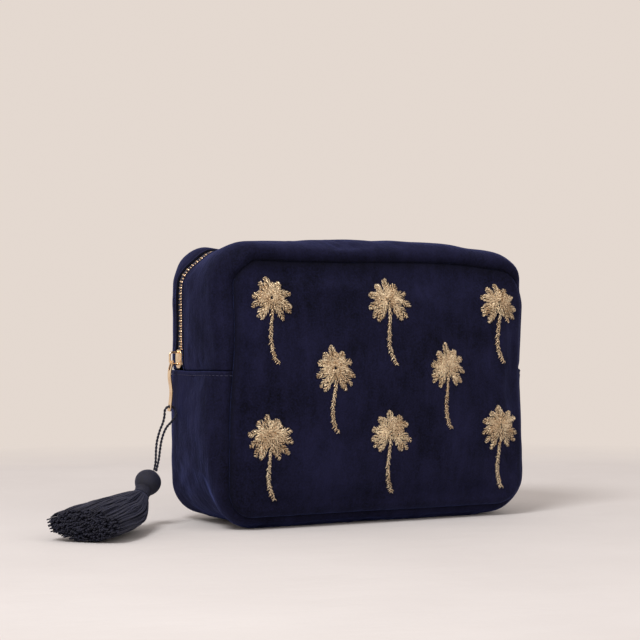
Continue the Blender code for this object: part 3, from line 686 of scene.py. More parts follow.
world = bpy.data.worlds.new("backdrop")
bpy.context.scene.world = world
world.use_nodes = True
sky = world.node_tree.nodes["Background"]
sky.inputs["Color"].default_value = BACKDROP_COLOUR
sky.inputs["Strength"].default_value = BACKDROP_LIGHT
bpy.context.scene.view_settings.view_transform = "Standard"

floor_reach = np.geomspace(0.02, 14.0, 60)[:, None]
floor_turn = 2 * math.pi * np.arange(96) / 96
floor_points = np.stack(
    np.broadcast_arrays(floor_reach * np.cos(floor_turn), floor_reach * np.sin(floor_turn), 0.0), axis=-1
)
floor_faces = grid_faces(60, 96, wrap=True)[:, ::-1].tolist() + [list(range(96))]
floor = add_piece("floor", floor_points, floor_faces, plaster_finish(), "velvet")
del floor["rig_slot"]


# ---- tassel's cord -----------------------------------------------------------------------------------
STRAND_RADIUS = 0.00044
STRAND_OFFSET = 0.00038  # from the cord's middle to a strand's
CORD_LAY = 0.0042  # the length in which the strands go once round
CORD_ROUTE = [
    (-0.1241, 0.0136, 0.0328),
    (-0.1231, 0.0139, 0.0380),
    (-0.1226, 0.0144, 0.0450),
    (-0.1216, 0.0149, 0.0506),
    (-0.1196, 0.0155, 0.0562),
    (-0.1174, 0.0162, 0.0604),
    (-0.1161, 0.0167, 0.0645),
    (-0.1157, 0.0169, 0.0680),
    (-0.1143, 0.0169, 0.0697),
    (-0.1124, 0.0169, 0.0703),
    (-0.1104, 0.0169, 0.0697),
    (-0.1089, 0.0168, 0.0677),
    (-0.1092, 0.0161, 0.0644),
    (-0.1122, 0.0149, 0.0612),
    (-0.1158, 0.0139, 0.0582),
    (-0.1183, 0.0130, 0.0545),
    (-0.1200, 0.0125, 0.0500),
    (-0.1210, 0.0121, 0.0455),
    (-0.1220, 0.0118, 0.0395),
    (-0.1238, 0.0116, 0.0324),
]
HEAD_PLACE = np.array([-0.1287, 0.0127, 0.0258])
HEAD_RADIUS = 0.0077
HEAD_AXIS = unit(np.array([-0.62, -0.50, -0.60]))
NECK_RADIUS = 0.0050
NECK_LENGTH = 0.0042
SKIRT_TIP = np.array([-0.196, -0.048])
SKIRT_SPREAD = 0.0220
SKIRT_END_HEIGHT = 0.0092
SKIRT_CROWN = 0.0012
THREAD_COUNT = 1150
THREAD_RADII = (0.00022, 0.00044, 0.00040)  # at the neck, along it and at its cut end


def turned_rings(path, start):
    """Side and up vectors along a path, carried on from point to point with as little turn as possible."""
    tangent = unit(np.gradient(path, axis=0))
    side = np.empty_like(path)
    last = np.asarray(start, float)
    for k, along in enumerate(tangent):
        last = unit(last - along * (last @ along))
        side[k] = last
    return side, np.cross(tangent, side)


def make_cord():
    """Two strands laid round each other along the route."""
    route = smooth_through(CORD_ROUTE, 14)
    travelled = np.concatenate([[0], np.linalg.norm(np.diff(route, axis=0), axis=1).cumsum()])
    side, above = turned_rings(route, (0.0, 1.0, 0.0))
    turn = 2 * math.pi * travelled / CORD_LAY
    strands = np.stack(
        [
            route + STRAND_OFFSET * (np.cos(turn + k)[:, None] * side + np.sin(turn + k)[:, None] * above)
            for k in (0, math.pi)
        ]
    )
    radii = np.full(strands.shape[:2], STRAND_RADIUS)
    points, faces = tubes(strands, radii, 8, np.array([0.03, 1.0, 0.02]))
    cord = add_piece("tassel_cord_thread", points, faces, tassel_thread, "tassel_thread")
    return cord, travelled[-1], route[::4]


def make_head():
    """A thread-covered ball, ribbed by its threads, with a dimple where the cord goes in."""
    angle = np.linspace(0.10, math.pi - 0.42, 44)
    dimple = 0.0010 * hump(angle, 0.0, 0.38)
    profile = np.stack([-np.cos(angle) * HEAD_RADIUS + dimple, np.sin(angle) * HEAD_RADIUS], axis=-1)

    def ripple(share, turn):
        return 1 + 0.016 * np.cos(44 * turn + 3 * share) + 0.012 * np.cos(5 * turn + 2.0)

    points, faces = lathe(profile, HEAD_PLACE, HEAD_AXIS, 176, ripple)
    return add_piece("tassel_head_ball", points, faces, tassel_thread, "tassel_thread")


def make_neck():
    """Six turns of thread bound round the neck."""
    share = np.linspace(0, 1, 62)
    lobes = np.abs(np.sin(share * 6 * math.pi)) ** 0.6
    waist = NECK_RADIUS * (0.93 + 0.05 * np.cos(share * 2 * math.pi))
    along = HEAD_RADIUS * 0.90 + share * (NECK_LENGTH + 0.0008)
    profile = np.stack([along, waist + 0.0003 * lobes], axis=-1)
    points, faces = lathe(profile, HEAD_PLACE, HEAD_AXIS, 48, lambda s, a: 1 + 0.01 * np.cos(3 * a + 9 * s))
    return add_piece("tassel_neck_binding", points, faces, tassel_thread, "tassel_thread")


SKIRT_START = HEAD_PLACE + HEAD_AXIS * (HEAD_RADIUS + NECK_LENGTH + 0.0002)


def bundle(t):
    """Middle height and half height of the bundle of threads at a share t of its length.

    Its top slopes down to its cut end, and its underside drops to the floor soon after the neck.
    """
    height = SKIRT_START[2]
    top = (height + NECK_RADIUS) * (1 - t) + 2 * SKIRT_END_HEIGHT * t + SKIRT_CROWN * np.sin(t * math.pi)
    foot = 0.0006 + (height - NECK_RADIUS) * (1 - smooth(t, -0.05, 0.32))
    return (top + foot) / 2, (top - foot) / 2


def bundle_wide(t):
    """Half the width of the bundle, which swells at once below the neck and fans out more slowly after it."""
    return NECK_RADIUS + (SKIRT_SPREAD - NECK_RADIUS) * (1 - (1 - t) ** 2.4)


def bundle_frame(t, height):
    """The bundle's middle line at that height, and the directions to its side and its top."""
    run = np.array([*(SKIRT_TIP - SKIRT_START[:2]), 0.0])
    middle = np.stack([SKIRT_START[0] + run[0] * t, SKIRT_START[1] + run[1] * t, height], axis=-1)
    along = unit(HEAD_AXIS * (1 - t)[..., None] + unit(run) * t[..., None])
    side = unit(np.cross(along, (0.0, 0.0, 1.0)))
    return middle, side, np.cross(side, along)


def skirt_core():
    """A closed oval sleeve inside the threads, so that nothing shows between them."""
    t = np.linspace(0, 0.86, 20)
    wide = bundle_wide(t) * 0.80
    height, tall = bundle(t)
    tall = tall * 0.78
    middle, side, above = bundle_frame(t, height)
    turn = 2 * math.pi * np.arange(32) / 32
    rings = (
        middle[:, None]
        + (wide[:, None] * np.cos(turn))[..., None] * side[:, None]
        + (tall[:, None] * np.sin(turn))[..., None] * above[:, None]
    )
    rings[..., 2] = np.maximum(rings[..., 2], 0.0010)
    return rings, closed_rings(20, 32)


def make_skirt():
    """Threads from the neck, fanned out on the floor: each keeps its place in an oval that widens as it goes.

    A thread is the bundle's middle plus its share of the oval's two half axes, plus a slow wander of its own.
    """
    rng = np.random.default_rng(11)
    count, steps = THREAD_COUNT, 15
    reach = np.sqrt(rng.uniform(0, 1, count)) * 0.97
    turn = rng.uniform(0, 2 * math.pi, count)
    ends = rng.uniform(0.955, 1.0, count) - 0.04 * reach**2
    t = np.linspace(0, 1, steps)[None, :] * ends[:, None]
    wide = bundle_wide(t)
    height, tall = bundle(t)
    middle, side, above = bundle_frame(t, height)
    wander = rng.uniform(-1, 1, (4, count, 1)) * np.array([0.0008, 0.0006, 0.0009, 0.0006])[:, None, None]
    swing = t * (1.3 - 0.3 * t)
    across = wide * (reach * np.cos(turn))[:, None] + wander[0] * np.sin(7 * t) + wander[2] * swing * 2
    upward = tall * (reach * np.sin(turn))[:, None] + wander[1] * np.sin(9 * t) + wander[3] * swing
    path = middle + side * across[..., None] + above * upward[..., None]
    path[..., 2] = np.maximum(path[..., 2], 0.0007)
    at_neck, along_it, at_end = THREAD_RADII
    radii = np.full(path.shape[:2], along_it)
    radii[:, -1] = at_end
    radii[:, 0] = at_neck
    threads = tubes(path, radii, 5, np.array([0.02, 0.03, 1.0]))
    points, faces = join([threads, skirt_core()])
    return add_piece("tassel_skirt_threads", points, faces, tassel_thread, "tassel_thread")


cord, cord_length, cord_path = make_cord()
tassel = [make_head(), make_neck(), make_skirt()]
for piece, node in zip([cord, *tassel], ("tassel_cord", "tassel_head", "tassel_neck", "tassel_skirt")):
    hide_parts(node)
    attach(piece, "tassel")


# ---- padded cloth ------------------------------------------------------------------------------------
SIM_FRAMES = 18
SIM_CAP = 0.0035


def lay_weights(fine, coarse):
    """Catmull and Rom weights that carry a row of coarse numbers over to a row of fine ones."""
    spot = np.linspace(0, coarse - 1, fine)
    base = np.minimum(spot.astype(int), coarse - 2)
    t = spot - base
    parts = (
        0.5 * (-t + 2 * t**2 - t**3),
        0.5 * (2 - 5 * t**2 + 3 * t**3),
        0.5 * (t + 4 * t**2 - 3 * t**3),
        0.5 * (-(t**2) + t**3),
    )
    weights = np.zeros((fine, coarse))
    for k, part in enumerate(parts):
        np.add.at(weights, (np.arange(fine), np.clip(base + k - 1, 0, coarse - 1)), part)
    return weights


def billow(grid, rows, columns, pressure, slack, free):
    """Lets a cloth settle over its wadding.

    A coarse copy, held at its edges and cut slightly too large, is blown out by Blender's cloth. How far each
    point moved is carried back over to the fine grid, as far as its share free lets it.
    """
    down, over = lay_weights(rows, grid.shape[0]), lay_weights(columns, grid.shape[1])
    coarse = np.einsum("ri,ijk,cj->rck", down, grid, over)
    mesh = bpy.data.meshes.new("cloth_try")
    mesh.from_pydata(coarse.reshape(-1, 3), [], grid_faces(rows, columns))
    trial = bpy.data.objects.new("cloth_try", mesh)
    bpy.context.scene.collection.objects.link(trial)
    held = np.ones((rows, columns), bool)
    held[1:-1, 1:-1] = False
    pins = trial.vertex_groups.new(name="held")
    pins.add(np.flatnonzero(held).tolist(), 1.0, "ADD")
    step = trial.modifiers.new("cloth", "CLOTH")
    step.settings.vertex_group_mass = "held"
    step.settings.quality = 6
    step.settings.mass = 0.15
    step.settings.tension_stiffness = 20
    step.settings.compression_stiffness = 20
    step.settings.shear_stiffness = 8
    step.settings.bending_stiffness = 0.4
    step.settings.shrink_min = -slack
    step.settings.use_pressure = True
    step.settings.uniform_pressure_force = pressure
    step.settings.effector_weights.gravity = 0
    step.point_cache.frame_start, step.point_cache.frame_end = 1, SIM_FRAMES
    scene = bpy.context.scene
    for number in range(1, SIM_FRAMES + 1):
        scene.frame_set(number)
    settled = trial.evaluated_get(bpy.context.evaluated_depsgraph_get()).data
    found = np.empty(rows * columns * 3)
    settled.vertices.foreach_get("co", found)
    scene.frame_set(1)
    bpy.data.objects.remove(trial, do_unlink=True)
    moved = found.reshape(rows, columns, 3) - coarse
    far = np.linalg.norm(moved, axis=-1, keepdims=True)
    moved *= np.minimum(1, SIM_CAP / np.maximum(far, 1e-9))
    back_down, back_over = lay_weights(grid.shape[0], rows), lay_weights(grid.shape[1], columns)
    return grid + np.einsum("ri,ijk,cj->rck", back_down, moved, back_over) * free[..., None]


def creased(grid, outwards, amount, seed):
    """Small folds along the normal: short waves that fade to nothing at the grid's edges."""
    down, over = (1 - np.abs(np.linspace(-1, 1, count)) ** 6 for count in grid.shape[:2])
    edge = np.minimum(down[:, None], over)
    height = waves(grid, 0.030, seed) * 0.6 + waves(grid, 0.014, seed + 50) * 0.22
    return grid + outwards * grid_normals(grid) * (amount * edge * height)[..., None]


def mouth(piece, where, *nodes):
    """A soft piece of the front or back group: the parts it stands for are hidden and its place is baked into
    its mesh.
    """
    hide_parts(*nodes)
    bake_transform(piece)


def make_panel(where, side, rows, columns, sim):
    """A velvet panel with its seam allowance. Gives back its finished grid."""
    flat = panel_grid(side, rows, columns, PANEL_INSET, 0.0)
    edge = from_edge(flat[..., 0], flat[..., 2])
    free = smooth(edge, 0.006, 0.018)
    # painted shade: the velvet darkens near the seam, over a wider band along the top, where the band's roll
    # overhangs the panel
    seam_shade = np.exp(-edge / (0.0012 + 0.0030 * along_top(flat[..., 2])))
    blown = billow(settle(flat)[:, ::-side], *sim, free[:, ::-side])[:, ::-side]
    grid = creased(blown, side, 0.00035, 20 + side)
    rimmed = tucked(grid, panel_inwards(grid))
    piece = add_cloth(f"{where}_panel", rimmed, VELVET, velvet, "velvet", -side, seam_shade)
    mouth(piece, where, f"{where}_panel_lower", f"{where}_panel_upper")
    return grid


def behind(grid, depth, rows, columns, outwards=1, step=3):
    """A layer behind a finished face: every third point, moved in along the normal, less its margins."""
    inner = grid - outwards * grid_normals(grid) * depth
    return inner[rows[0] : len(grid) - rows[1] : step, columns : grid.shape[1] - columns : step]


def make_inside(where, side, face, rows, columns):
    """A panel's wadding and lining, behind its face."""
    wadding = behind(face, WADDING_DEPTH, (rows + 3, rows + 3), columns + 3, -side)
    piece = add_cloth(f"{where}_wadding", wadding, WADDING, wadding_fluff, "wadding", outwards=-side)
    mouth(piece, where, f"{where}_wadding_lower", f"{where}_wadding_upper")
    grid = behind(face, LINING_DEPTH, (rows - 2, rows - 2), columns - 2, -side)
    piece = add_cloth(f"{where}_lining", grid, LINING, lining_cloth, "lining", outwards=-side)
    mouth(piece, where, f"{where}_lining_lower", f"{where}_lining_upper")


def band_grid(first, last, columns, edges, rows, shape):
    """Part of the band: edges gives its two y edges at a height, and shape the lift at (s, y, shares)."""
    s = np.linspace(first, last, columns)[None, :]
    z = outline(s)[1]
    low, high = edges(z)
    share = (spaced(rows)[:, None] + 1) / 2
    y = low + (high - low) * share
    return band_point(s, y, shape(s, y, y - low, high - y))


SEAM_S = left_side(SIDE_SEAM_Z)


def gusset_lift(s, y, low, high):
    """The fold over the zip strips at the side seams, its stitched groove, and corners drawn in below."""
    end = SEAM_S - 0.0001 - np.abs(s)
    corner = hump(np.abs(s), FLAT + QUARTER / 2, 0.020)
    drawn_in = 0.0055 * corner * smooth(low, 0.002, 0.024) * smooth(high, 0.0, 0.012)
    fold = 0.0008 * hump(end, 0, 0.005) - fall(end, 0.0009) - 0.0006 * hump(end, 0.0025, 0.0007)
    return fold - drawn_in


def strip_lift(near_zip):
    """A strip's folded edge at the zip, and its ends tucked under the gusset's fold."""

    def lift(s, y, low, high):
        end = np.minimum(s - SEAM_S, PERIMETER - SEAM_S - s)
        to_slot = high if near_zip == "high" else low
        return -0.0009 * hump(end, 0, 0.0030) - fall(to_slot, 0.0011) - 0.0004 * hump(to_slot, 0.0022, 0.0006)

    return lift


def whole_depth(depth):
    """The band's two y edges at a height, so far in from both seams."""
    return lambda z: (front_y(z) + seam_depth(z) + depth, back_y(z) - seam_depth(z) - depth)


def slot_edge(z, gap):
    """From the zip's middle to the velvet's folded edge, which gives way beside the slider."""
    return gap + SLIDER_SLOT * hump(z, SLIDER_Z, 0.010)


def front_part(depth, gap):
    return lambda z: (front_y(z) + seam_depth(z) + depth, zip_y(z) - slot_edge(z, gap))


def back_part(depth, gap):
    return lambda z: (zip_y(z) + slot_edge(z, gap), back_y(z) - seam_depth(z) - depth)


def tape_part(side):
    """A tape's two y edges at a height: side is -1 for the front one and 1 for the back one."""
    low, high = sorted(side * edge for edge in TAPE_EDGES)
    return lambda z: (zip_y(z) + low, zip_y(z) + high)


def seams_of(flat):
    """For a grid of the band before it settles: how free each point is, and how deep it lies in a seam, which
    the velvet darkens by as painted shade.
    """
    across = np.linalg.norm(np.diff(flat, axis=0, prepend=flat[:1]), axis=-1).cumsum(0)
    edge = np.minimum(across, across[-1:] - across)
    return smooth(edge, 0.004, 0.014), np.exp(-edge / 0.0016)


def make_band():
    """The lower gusset and the two zip strips, each with what lies behind it."""
    span = (-SEAM_S + 0.0001, SEAM_S - 0.0001)
    flat = band_grid(*span, 300, whole_depth(BAND_INSET), 76, gusset_lift)
    free, seam_shade = seams_of(flat)
    grid = creased(billow(settle(flat), 26, 96, 1.2, 0.004, free), 1, 0.00035, 31)
    grid[..., 2] = np.maximum(grid[..., 2], 0.0002)
    gusset = add_cloth("gusset", tucked(grid, -grid_normals(grid)), VELVET, velvet, "velvet", 1, seam_shade)
    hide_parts("gusset_lower")
    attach(gusset, "root")
    layers = (
        ("gusset_wadding_layer", "gusset_wadding", WADDING_DEPTH, WADDING, wadding_fluff, "wadding"),
        ("gusset_lining_cloth", "gusset_lining", LINING_DEPTH, LINING, lining_cloth, "lining"),
    )
    for name, node, depth, thick, finish, slot in layers:
        inner = behind(grid, depth, (14, 14), 4)
        piece = add_cloth(name, inner, thick, finish, slot)
        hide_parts(node)
        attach(piece, "root")
    span = (SEAM_S + 0.0002, PERIMETER - SEAM_S - 0.0002)
    for where, side, part, near_zip, rows, width, sim in (
        ("front", -1, front_part, "high", 60, 0.0475, (22, 90, 1.2, 0.004)),
        ("back", 1, back_part, "low", 30, 0.0125, (9, 90, 0.6, 0.003)),
    ):
        flat = band_grid(*span, 280, part(BAND_INSET, SLOT_HALF), rows, strip_lift(near_zip))
        free, seam_shade = seams_of(flat)
        grid = creased(billow(settle(flat), *sim, free), 1, 0.0003, 41)
        rimmed = tucked(grid, -grid_normals(grid))
        piece = add_cloth(f"{where}_strip", rimmed, VELVET, velvet, "velvet", 1, seam_shade)
        mouth(piece, where, f"zip_strip_{where}")
        margins = (rows // 4, 3) if side < 0 else (3, rows // 4)
        inner = behind(grid, STRIP_LINING_DEPTH, margins, 3)
        piece = add_cloth(f"{where}_strip_lining", inner, LINING, lining_cloth, "lining")
        mouth(piece, where, f"strip_lining_{where}")
        tape = settle(band_grid(*span, 200, tape_part(side), 14, lambda s, y, low, high: 0 * y - TAPE_DROP))
        piece = add_cloth(f"{where}_tape", tape, TAPE, tape_cloth, "zip_tape")
        mouth(piece, where, f"zip_tape_{where}")


front_grid = make_panel("front", -1, 180, 220, (50, 64, 1.6, 0.006))
back_grid = make_panel("back", 1, 130, 160, (40, 50, 1.2, 0.005))
make_inside("front", -1, front_grid, 25, 25)
make_inside("back", 1, back_grid, 18, 18)
make_band()


# ---- stitches ----------------------------------------------------------------------------------------
def stitch_row(name, spots, outward, length, radius, finish, slot):
    """A row of stitches on a line of spots: each runs along the line and dives in at both ends."""
    travelled = np.concatenate([[0], np.linalg.norm(np.diff(spots, axis=0), axis=1).cumsum()])
    count = int(travelled[-1] / (length * 1.22))
    starts = np.arange(count)[:, None] * travelled[-1] / count
    share = np.linspace(0, 1, 6)[None, :]
    along = starts + length * share
    path = np.stack([np.interp(along, travelled, spots[:, k]) for k in range(3)], axis=-1)
    away = np.stack([np.interp(along, travelled, outward[:, k]) for k in range(3)], axis=-1)
    path += away * (radius * (1.6 * np.sin(math.pi * share) - 0.9))[..., None]
    radii = np.broadcast_to(radius * (0.5 + 0.5 * np.sin(math.pi * share)), path.shape[:2])
    points, faces = tubes(path, radii, 6, away)
    return add_piece(name, points, faces, finish, slot)


for side_name, sign in (("left", 1), ("right", -1)):
    z = np.full(90, SIDE_SEAM_Z - 0.0026)
    y = np.linspace(front_y(0.09) + 0.006, back_y(0.09) - 0.006, 90)
    s = left_side(z) if sign > 0 else right_side(z)
    spots = settle(band_point(s, y, 0.0002))
    out = unit(settle(band_point(s, y, 0.0012)) - spots)
    seam = stitch_row(f"side_stitches_{side_name}", spots, out, 0.0024, 0.00022, velvet_thread, "velvet")
    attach(seam, "root")


# ---- zip ---------------------------------------------------------------------------------------------
TOOTH_WIDE = 0.0022
TOOTH_HALF = 0.00115  # half a tooth's thickness
TOOTH_SHAPE = [  # reach from the zip's middle, and width and thickness as shares of the above
    (-0.0009, 0.40, 0.7),
    (-0.0003, 0.66, 1.0),
    (0.0005, 0.58, 1.0),
    (0.0011, 0.60, 1.0),
    (0.0019, 0.80, 1.0),
    (0.0026, 0.60, 0.8),
]
BEAD_RADIUS = 0.00075  # of the tape's corded edge


def make_teeth(where, side, shift):
    """A row of clamped teeth: each is a rounded bar across the tape, wide at its head, on a corded edge.

    A tooth's section is an eight-sided oval whose length along the zip follows the shares in TOOTH_SHAPE.
    """
    first = left_side(SLIDER_Z + SLIDER_LENGTH / 2 + 0.0004) + shift
    count = int((right_side(SIDE_SEAM_Z + 0.0012) - first) / TOOTH_PITCH)
    s = first + TOOTH_PITCH * np.arange(count)
    z = outline(s)[1]
    middle = settle(band_point(s, zip_y(z), -CHAIN_TOP))
    ahead = settle(band_point(s + 0.0005, zip_y(z), -CHAIN_TOP))
    below = settle(band_point(s, zip_y(z), -CHAIN_TOP - 0.002))
    along, inward = unit(ahead - middle), unit(below - middle)
    across = unit(np.cross(along, inward))
    across *= np.sign(across[:, 1:2]) * side
    turn = 2 * math.pi * (np.arange(8) + 0.5) / 8
    reach, width, thick = np.array(TOOTH_SHAPE).T
    width, thick = width * TOOTH_WIDE, thick * TOOTH_HALF
    points = (
        middle[:, None, None]
        + reach[None, :, None, None] * across[:, None, None]
        + (0.5 * width[:, None] * np.cos(turn))[None, :, :, None] * along[:, None, None]
        + (TOOTH_HALF - thick[:, None] * np.sin(turn))[None, :, :, None] * inward[:, None, None]
    )
    one = grid_faces(6, 8, wrap=True)
    starts = np.arange(count) * 48
    faces = (one[None] + starts[:, None, None]).reshape(-1, 4).tolist()
    ends = np.arange(8)[None] + starts[:, None]
    faces += ends[:, ::-1].tolist() + (ends + 40).tolist()
    fine = np.linspace(first, s[-1], 300)
    line = settle(band_point(fine, zip_y(outline(fine)[1]) + side * 0.0022, -CHAIN_TOP - TOOTH_HALF))
    bead = tubes(line[None], np.full((1, 300), BEAD_RADIUS), 8, np.array([0.0, 1.0, 0.01]))
    piece = add_piece(f"{where}_teeth", points, faces, gold_metal, "gold_metal")
    mouth(piece, where, f"zip_chain_{where}")
    edge = add_piece(f"{where}_tape_bead", *bead, tape_cloth, "zip_tape", uv=np.zeros((len(bead[0]), 2)))
    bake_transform(edge)


make_teeth("front", -1, 0.0)
make_teeth("back", 1, TOOTH_PITCH / 2)

SLIDER_UP = unit(np.array([0.0, zip_y(1.0) - zip_y(0.0), 1.0]))
SLIDER_OUT = np.array([-1.0, 0.0, 0.0])
SLIDER_ACROSS = np.cross(SLIDER_UP, SLIDER_OUT)
slider_lo, slider_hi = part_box("slider_body")
SLIDER_MIDDLE = np.array(
    [slider_lo[0] + SLIDER_FACE, (slider_lo[1] + slider_hi[1]) / 2, (slider_lo[2] + slider_hi[2]) / 2]
)


def on_slider(up, across, out):
    """A point given up the chain, towards the front and out of the velvet."""
    up, across, out = (part[..., None] for part in np.broadcast_arrays(up, across, out))
    return SLIDER_MIDDLE + up * SLIDER_UP + across * SLIDER_ACROSS + out * SLIDER_OUT


def slider_plate(low, high, inset):
    """A shield-shaped plate with rounded rims: rings of one outline, drawn in towards each face."""
    turn = 2 * math.pi * np.arange(64) / 64
    reach = np.abs(np.cos(turn)) ** 0.75 * np.sign(np.cos(turn))
    wide = np.abs(np.sin(turn)) ** 0.62 * np.sign(np.sin(turn))
    up = reach * SLIDER_LENGTH / 2
    across = wide * SLIDER_HALF * (1 - 0.18 * np.maximum(-reach, 0) ** 2)
    bevel = 0.00032
    rings = []
    for out, drawn in (
        (low, bevel),
        (low + bevel * 0.3, bevel * 0.3),
        (low + bevel, 0),
        (high - bevel, 0),
        (high - bevel * 0.3, bevel * 0.3),
        (high, bevel),
        (high + 0.0001, SLIDER_HALF * 0.5),
    ):
        shorter = 1 - (drawn + inset) / (SLIDER_LENGTH / 2)
        slimmer = 1 - (drawn + inset) / SLIDER_HALF
        rings.append(on_slider(up * shorter, across * slimmer, out))
    return np.array(rings), [face[::-1] for face in closed_rings(len(rings), 64)]


def make_slider():
    """Two plates, the oval post that joins them, and a rim turned down at each side of the front plate."""
    turn = 2 * math.pi * np.arange(20) / 20
    up = SLIDER_LENGTH * 0.5 - 0.0035 + 0.0022 * np.cos(turn)
    ends = (SLIDER_BACK + 0.0004, SLIDER_FACE - 0.0004)
    post = np.array([on_slider(up, 0.0008 * np.sin(turn), out) for out in ends])
    post[..., 2] -= SLIDER_LENGTH - 0.0070
    post_faces = [face[::-1] for face in closed_rings(2, 20)]
    flanges = []
    for side in (-1, 1):
        up = np.linspace(-0.30, 0.30, 12) * SLIDER_LENGTH
        path = on_slider(up, side * (SLIDER_HALF - 0.00035), SLIDER_FACE - 0.0011)
        flanges.append(tubes(path[None], np.full((1, 12), 0.00042), 8, np.array([0.0, 0.0, 1.0]) + SLIDER_OUT))
    plates = [
        slider_plate(SLIDER_FACE - 0.0010, SLIDER_FACE, 0.0),
        slider_plate(SLIDER_BACK, SLIDER_BACK + 0.0009, 0.0002),
    ]
    points, faces = join([*plates, (post, post_faces), *flanges])
    body = add_piece("slider", points, faces, gold_metal, "gold_metal")
    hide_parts("slider_body")
    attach(body, "slider")


BAIL_RADIUS = 0.00065
BAIL_CORNER = 0.0017


def make_bail():
    """A flattened wire arch with round corners, whose feet swell where they join the slider's face."""
    lo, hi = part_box("slider_bail")
    out_run = SLIDER_MIDDLE[0] - lo[0] - BAIL_RADIUS
    middle = (lo[2] + hi[2]) / 2 - SLIDER_MIDDLE[2]
    half = (hi[2] - lo[2]) / 2 - BAIL_RADIUS
    path = [(middle + half, SLIDER_FACE - 0.0004), (middle + half, SLIDER_FACE + 0.0012)]
    for centre, start in ((middle + half - BAIL_CORNER, 0.0), (middle - half + BAIL_CORNER, math.pi / 2)):
        angle = start + np.linspace(0, math.pi / 2, 9)
        ups = centre + BAIL_CORNER * np.cos(angle)
        outs = out_run - BAIL_CORNER + BAIL_CORNER * np.sin(angle)
        path += list(zip(ups, outs))
    path += [(middle - half, SLIDER_FACE + 0.0012), (middle - half, SLIDER_FACE - 0.0004)]
    path = np.array(path)
    spots = on_slider(path[:, 0], 0.0, path[:, 1])
    radii = 0.00062 + 0.0005 * np.exp(-((path[:, 1] - SLIDER_FACE) / 0.0008) ** 2)
    points, faces = tubes(spots[None], radii[None], 14, SLIDER_ACROSS)
    bail = add_piece("bail", points, faces, gold_metal, "gold_metal")
    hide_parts("slider_bail")
    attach(bail, "slider")


PULL_PIVOT = np.array([-0.11085, 0.016901, 0.09725])
PULL_LENGTH = 0.0300
PULL_HALF = 0.0020
PULL_THICK = 0.0012
PULL_BEND = [(-0.0006, 0.0), (0.008, 0.0018), (0.018, 0.0007), (0.027, 0.0015), (0.030, 0.0021)]  # down, out
PULL_SECTION = [(-1, -0.45), (-0.78, -1), (0.78, -1), (1, -0.45), (1, 0.45), (0.78, 1), (-0.78, 1), (-1, 0.45)]


def add_cutter(name, down, across):
    """A bar that goes through the pull: its outline as distances down from the pull's pivot and across."""
    spot = np.stack([0 * down, 0 * down, -down], axis=-1)
    rings = [PULL_PIVOT + spot + out * SLIDER_OUT + across[:, None] * SLIDER_ACROSS for out in (-0.005, 0.007)]
    faces = closed_rings(2, len(down))
    cutter = add_piece(name, np.array(rings), faces, gold_metal, "gold_metal", shade=False)
    if volume(cutter.data) < 0:
        cutter.data.flip_normals()
    return cutter


def make_pull():
    """A flat bar with an S bend and facetted edges. Its eye and its cord hole are cut by Booleans."""
    bend = smooth_through(PULL_BEND, 14)
    travelled = np.linspace(0, 1, len(bend))
    ahead = unit(np.gradient(bend, axis=0))
    thick = np.stack([-ahead[:, 1], ahead[:, 0]], axis=-1)
    end = np.minimum(travelled, 1 - travelled) * PULL_LENGTH
    wide = PULL_HALF - fall(end, 0.0012) - 0.00018 * hump(travelled, 0.55, 0.16)
    flat = PULL_THICK / 2 - fall(end, 0.0004)
    rings = []
    for across, face in PULL_SECTION:
        spot = bend + thick * (flat * face)[:, None]
        rings.append(
            PULL_PIVOT
            + spot[:, :1] * np.array([0.0, 0.0, -1.0])
            + spot[:, 1:] * SLIDER_OUT
            + (wide * across)[:, None] * SLIDER_ACROSS
        )
    rings = np.stack(rings, axis=1)
    faces = closed_rings(len(bend), len(PULL_SECTION))
    pull = add_piece("pull", rings, faces, gold_metal, "gold_metal")
    eye = 2 * math.pi * np.arange(32) / 32
    eye_down = 0.0031 + 0.0015 * np.sign(np.cos(eye)) + 0.0010 * np.cos(eye)
    hole = 2 * math.pi * np.arange(24) / 24
    cutters = [
        add_cutter("eye_cutter", eye_down, 0.0010 * np.sin(eye)),
        add_cutter("cord_hole_cutter", 0.027 - 0.0011 * np.cos(hole), 0.0011 * np.sin(hole)),
    ]
    for cutter in cutters:
        step = pull.modifiers.new(cutter.name, "BOOLEAN")
        step.operation, step.solver, step.object = "DIFFERENCE", "EXACT", cutter
    if volume(pull.data) < 0:
        pull.data.flip_normals()
    done = bpy.data.meshes.new_from_object(pull.evaluated_get(bpy.context.evaluated_depsgraph_get()))
    pull.modifiers.clear()
    pull.data = done
    done.set_sharp_from_angle(angle=math.radians(35))
    for cutter in cutters:
        bpy.data.objects.remove(cutter, do_unlink=True)
    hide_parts("pull_bar")
    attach(pull, "pull")


def volume(mesh):
    """The signed volume of a closed mesh: a sum over its triangles of their spans with the origin."""
    mesh.calc_loop_triangles()
    corners = np.empty(len(mesh.loop_triangles) * 3, int)
    mesh.loop_triangles.foreach_get("vertices", corners)
    spots = np.empty(len(mesh.vertices) * 3)
    mesh.vertices.foreach_get("co", spots)
    a, b, c = spots.reshape(-1, 3)[corners.reshape(-1, 3)].transpose(1, 0, 2)
    return float(np.einsum("ij,ij->", a, np.cross(b, c)) / 6)


make_slider()
make_bail()
make_pull()


# ---- embroidery --------------------------------------------------------------------------------------
PALM_PITCH = 0.079
PALM_SHIFT = 0.002
PALM_TOPS = (0.1465, 0.1065, 0.0690)
CROWN_HALF = 0.0135
CROWN_DROP = 0.0122  # from the palm's top to where its fronds meet
PALM_HEIGHT = 0.050
STITCH_RADIUS = 0.00029
STITCH_FOOT = 0.00012  # height of a stitch's middle line over the cloth at its ends
STITCH_RISE = 0.00042  # how much higher it is halfway
front_normals = -grid_normals(front_grid)
front_normals *= -np.sign(front_normals[..., 1:2])


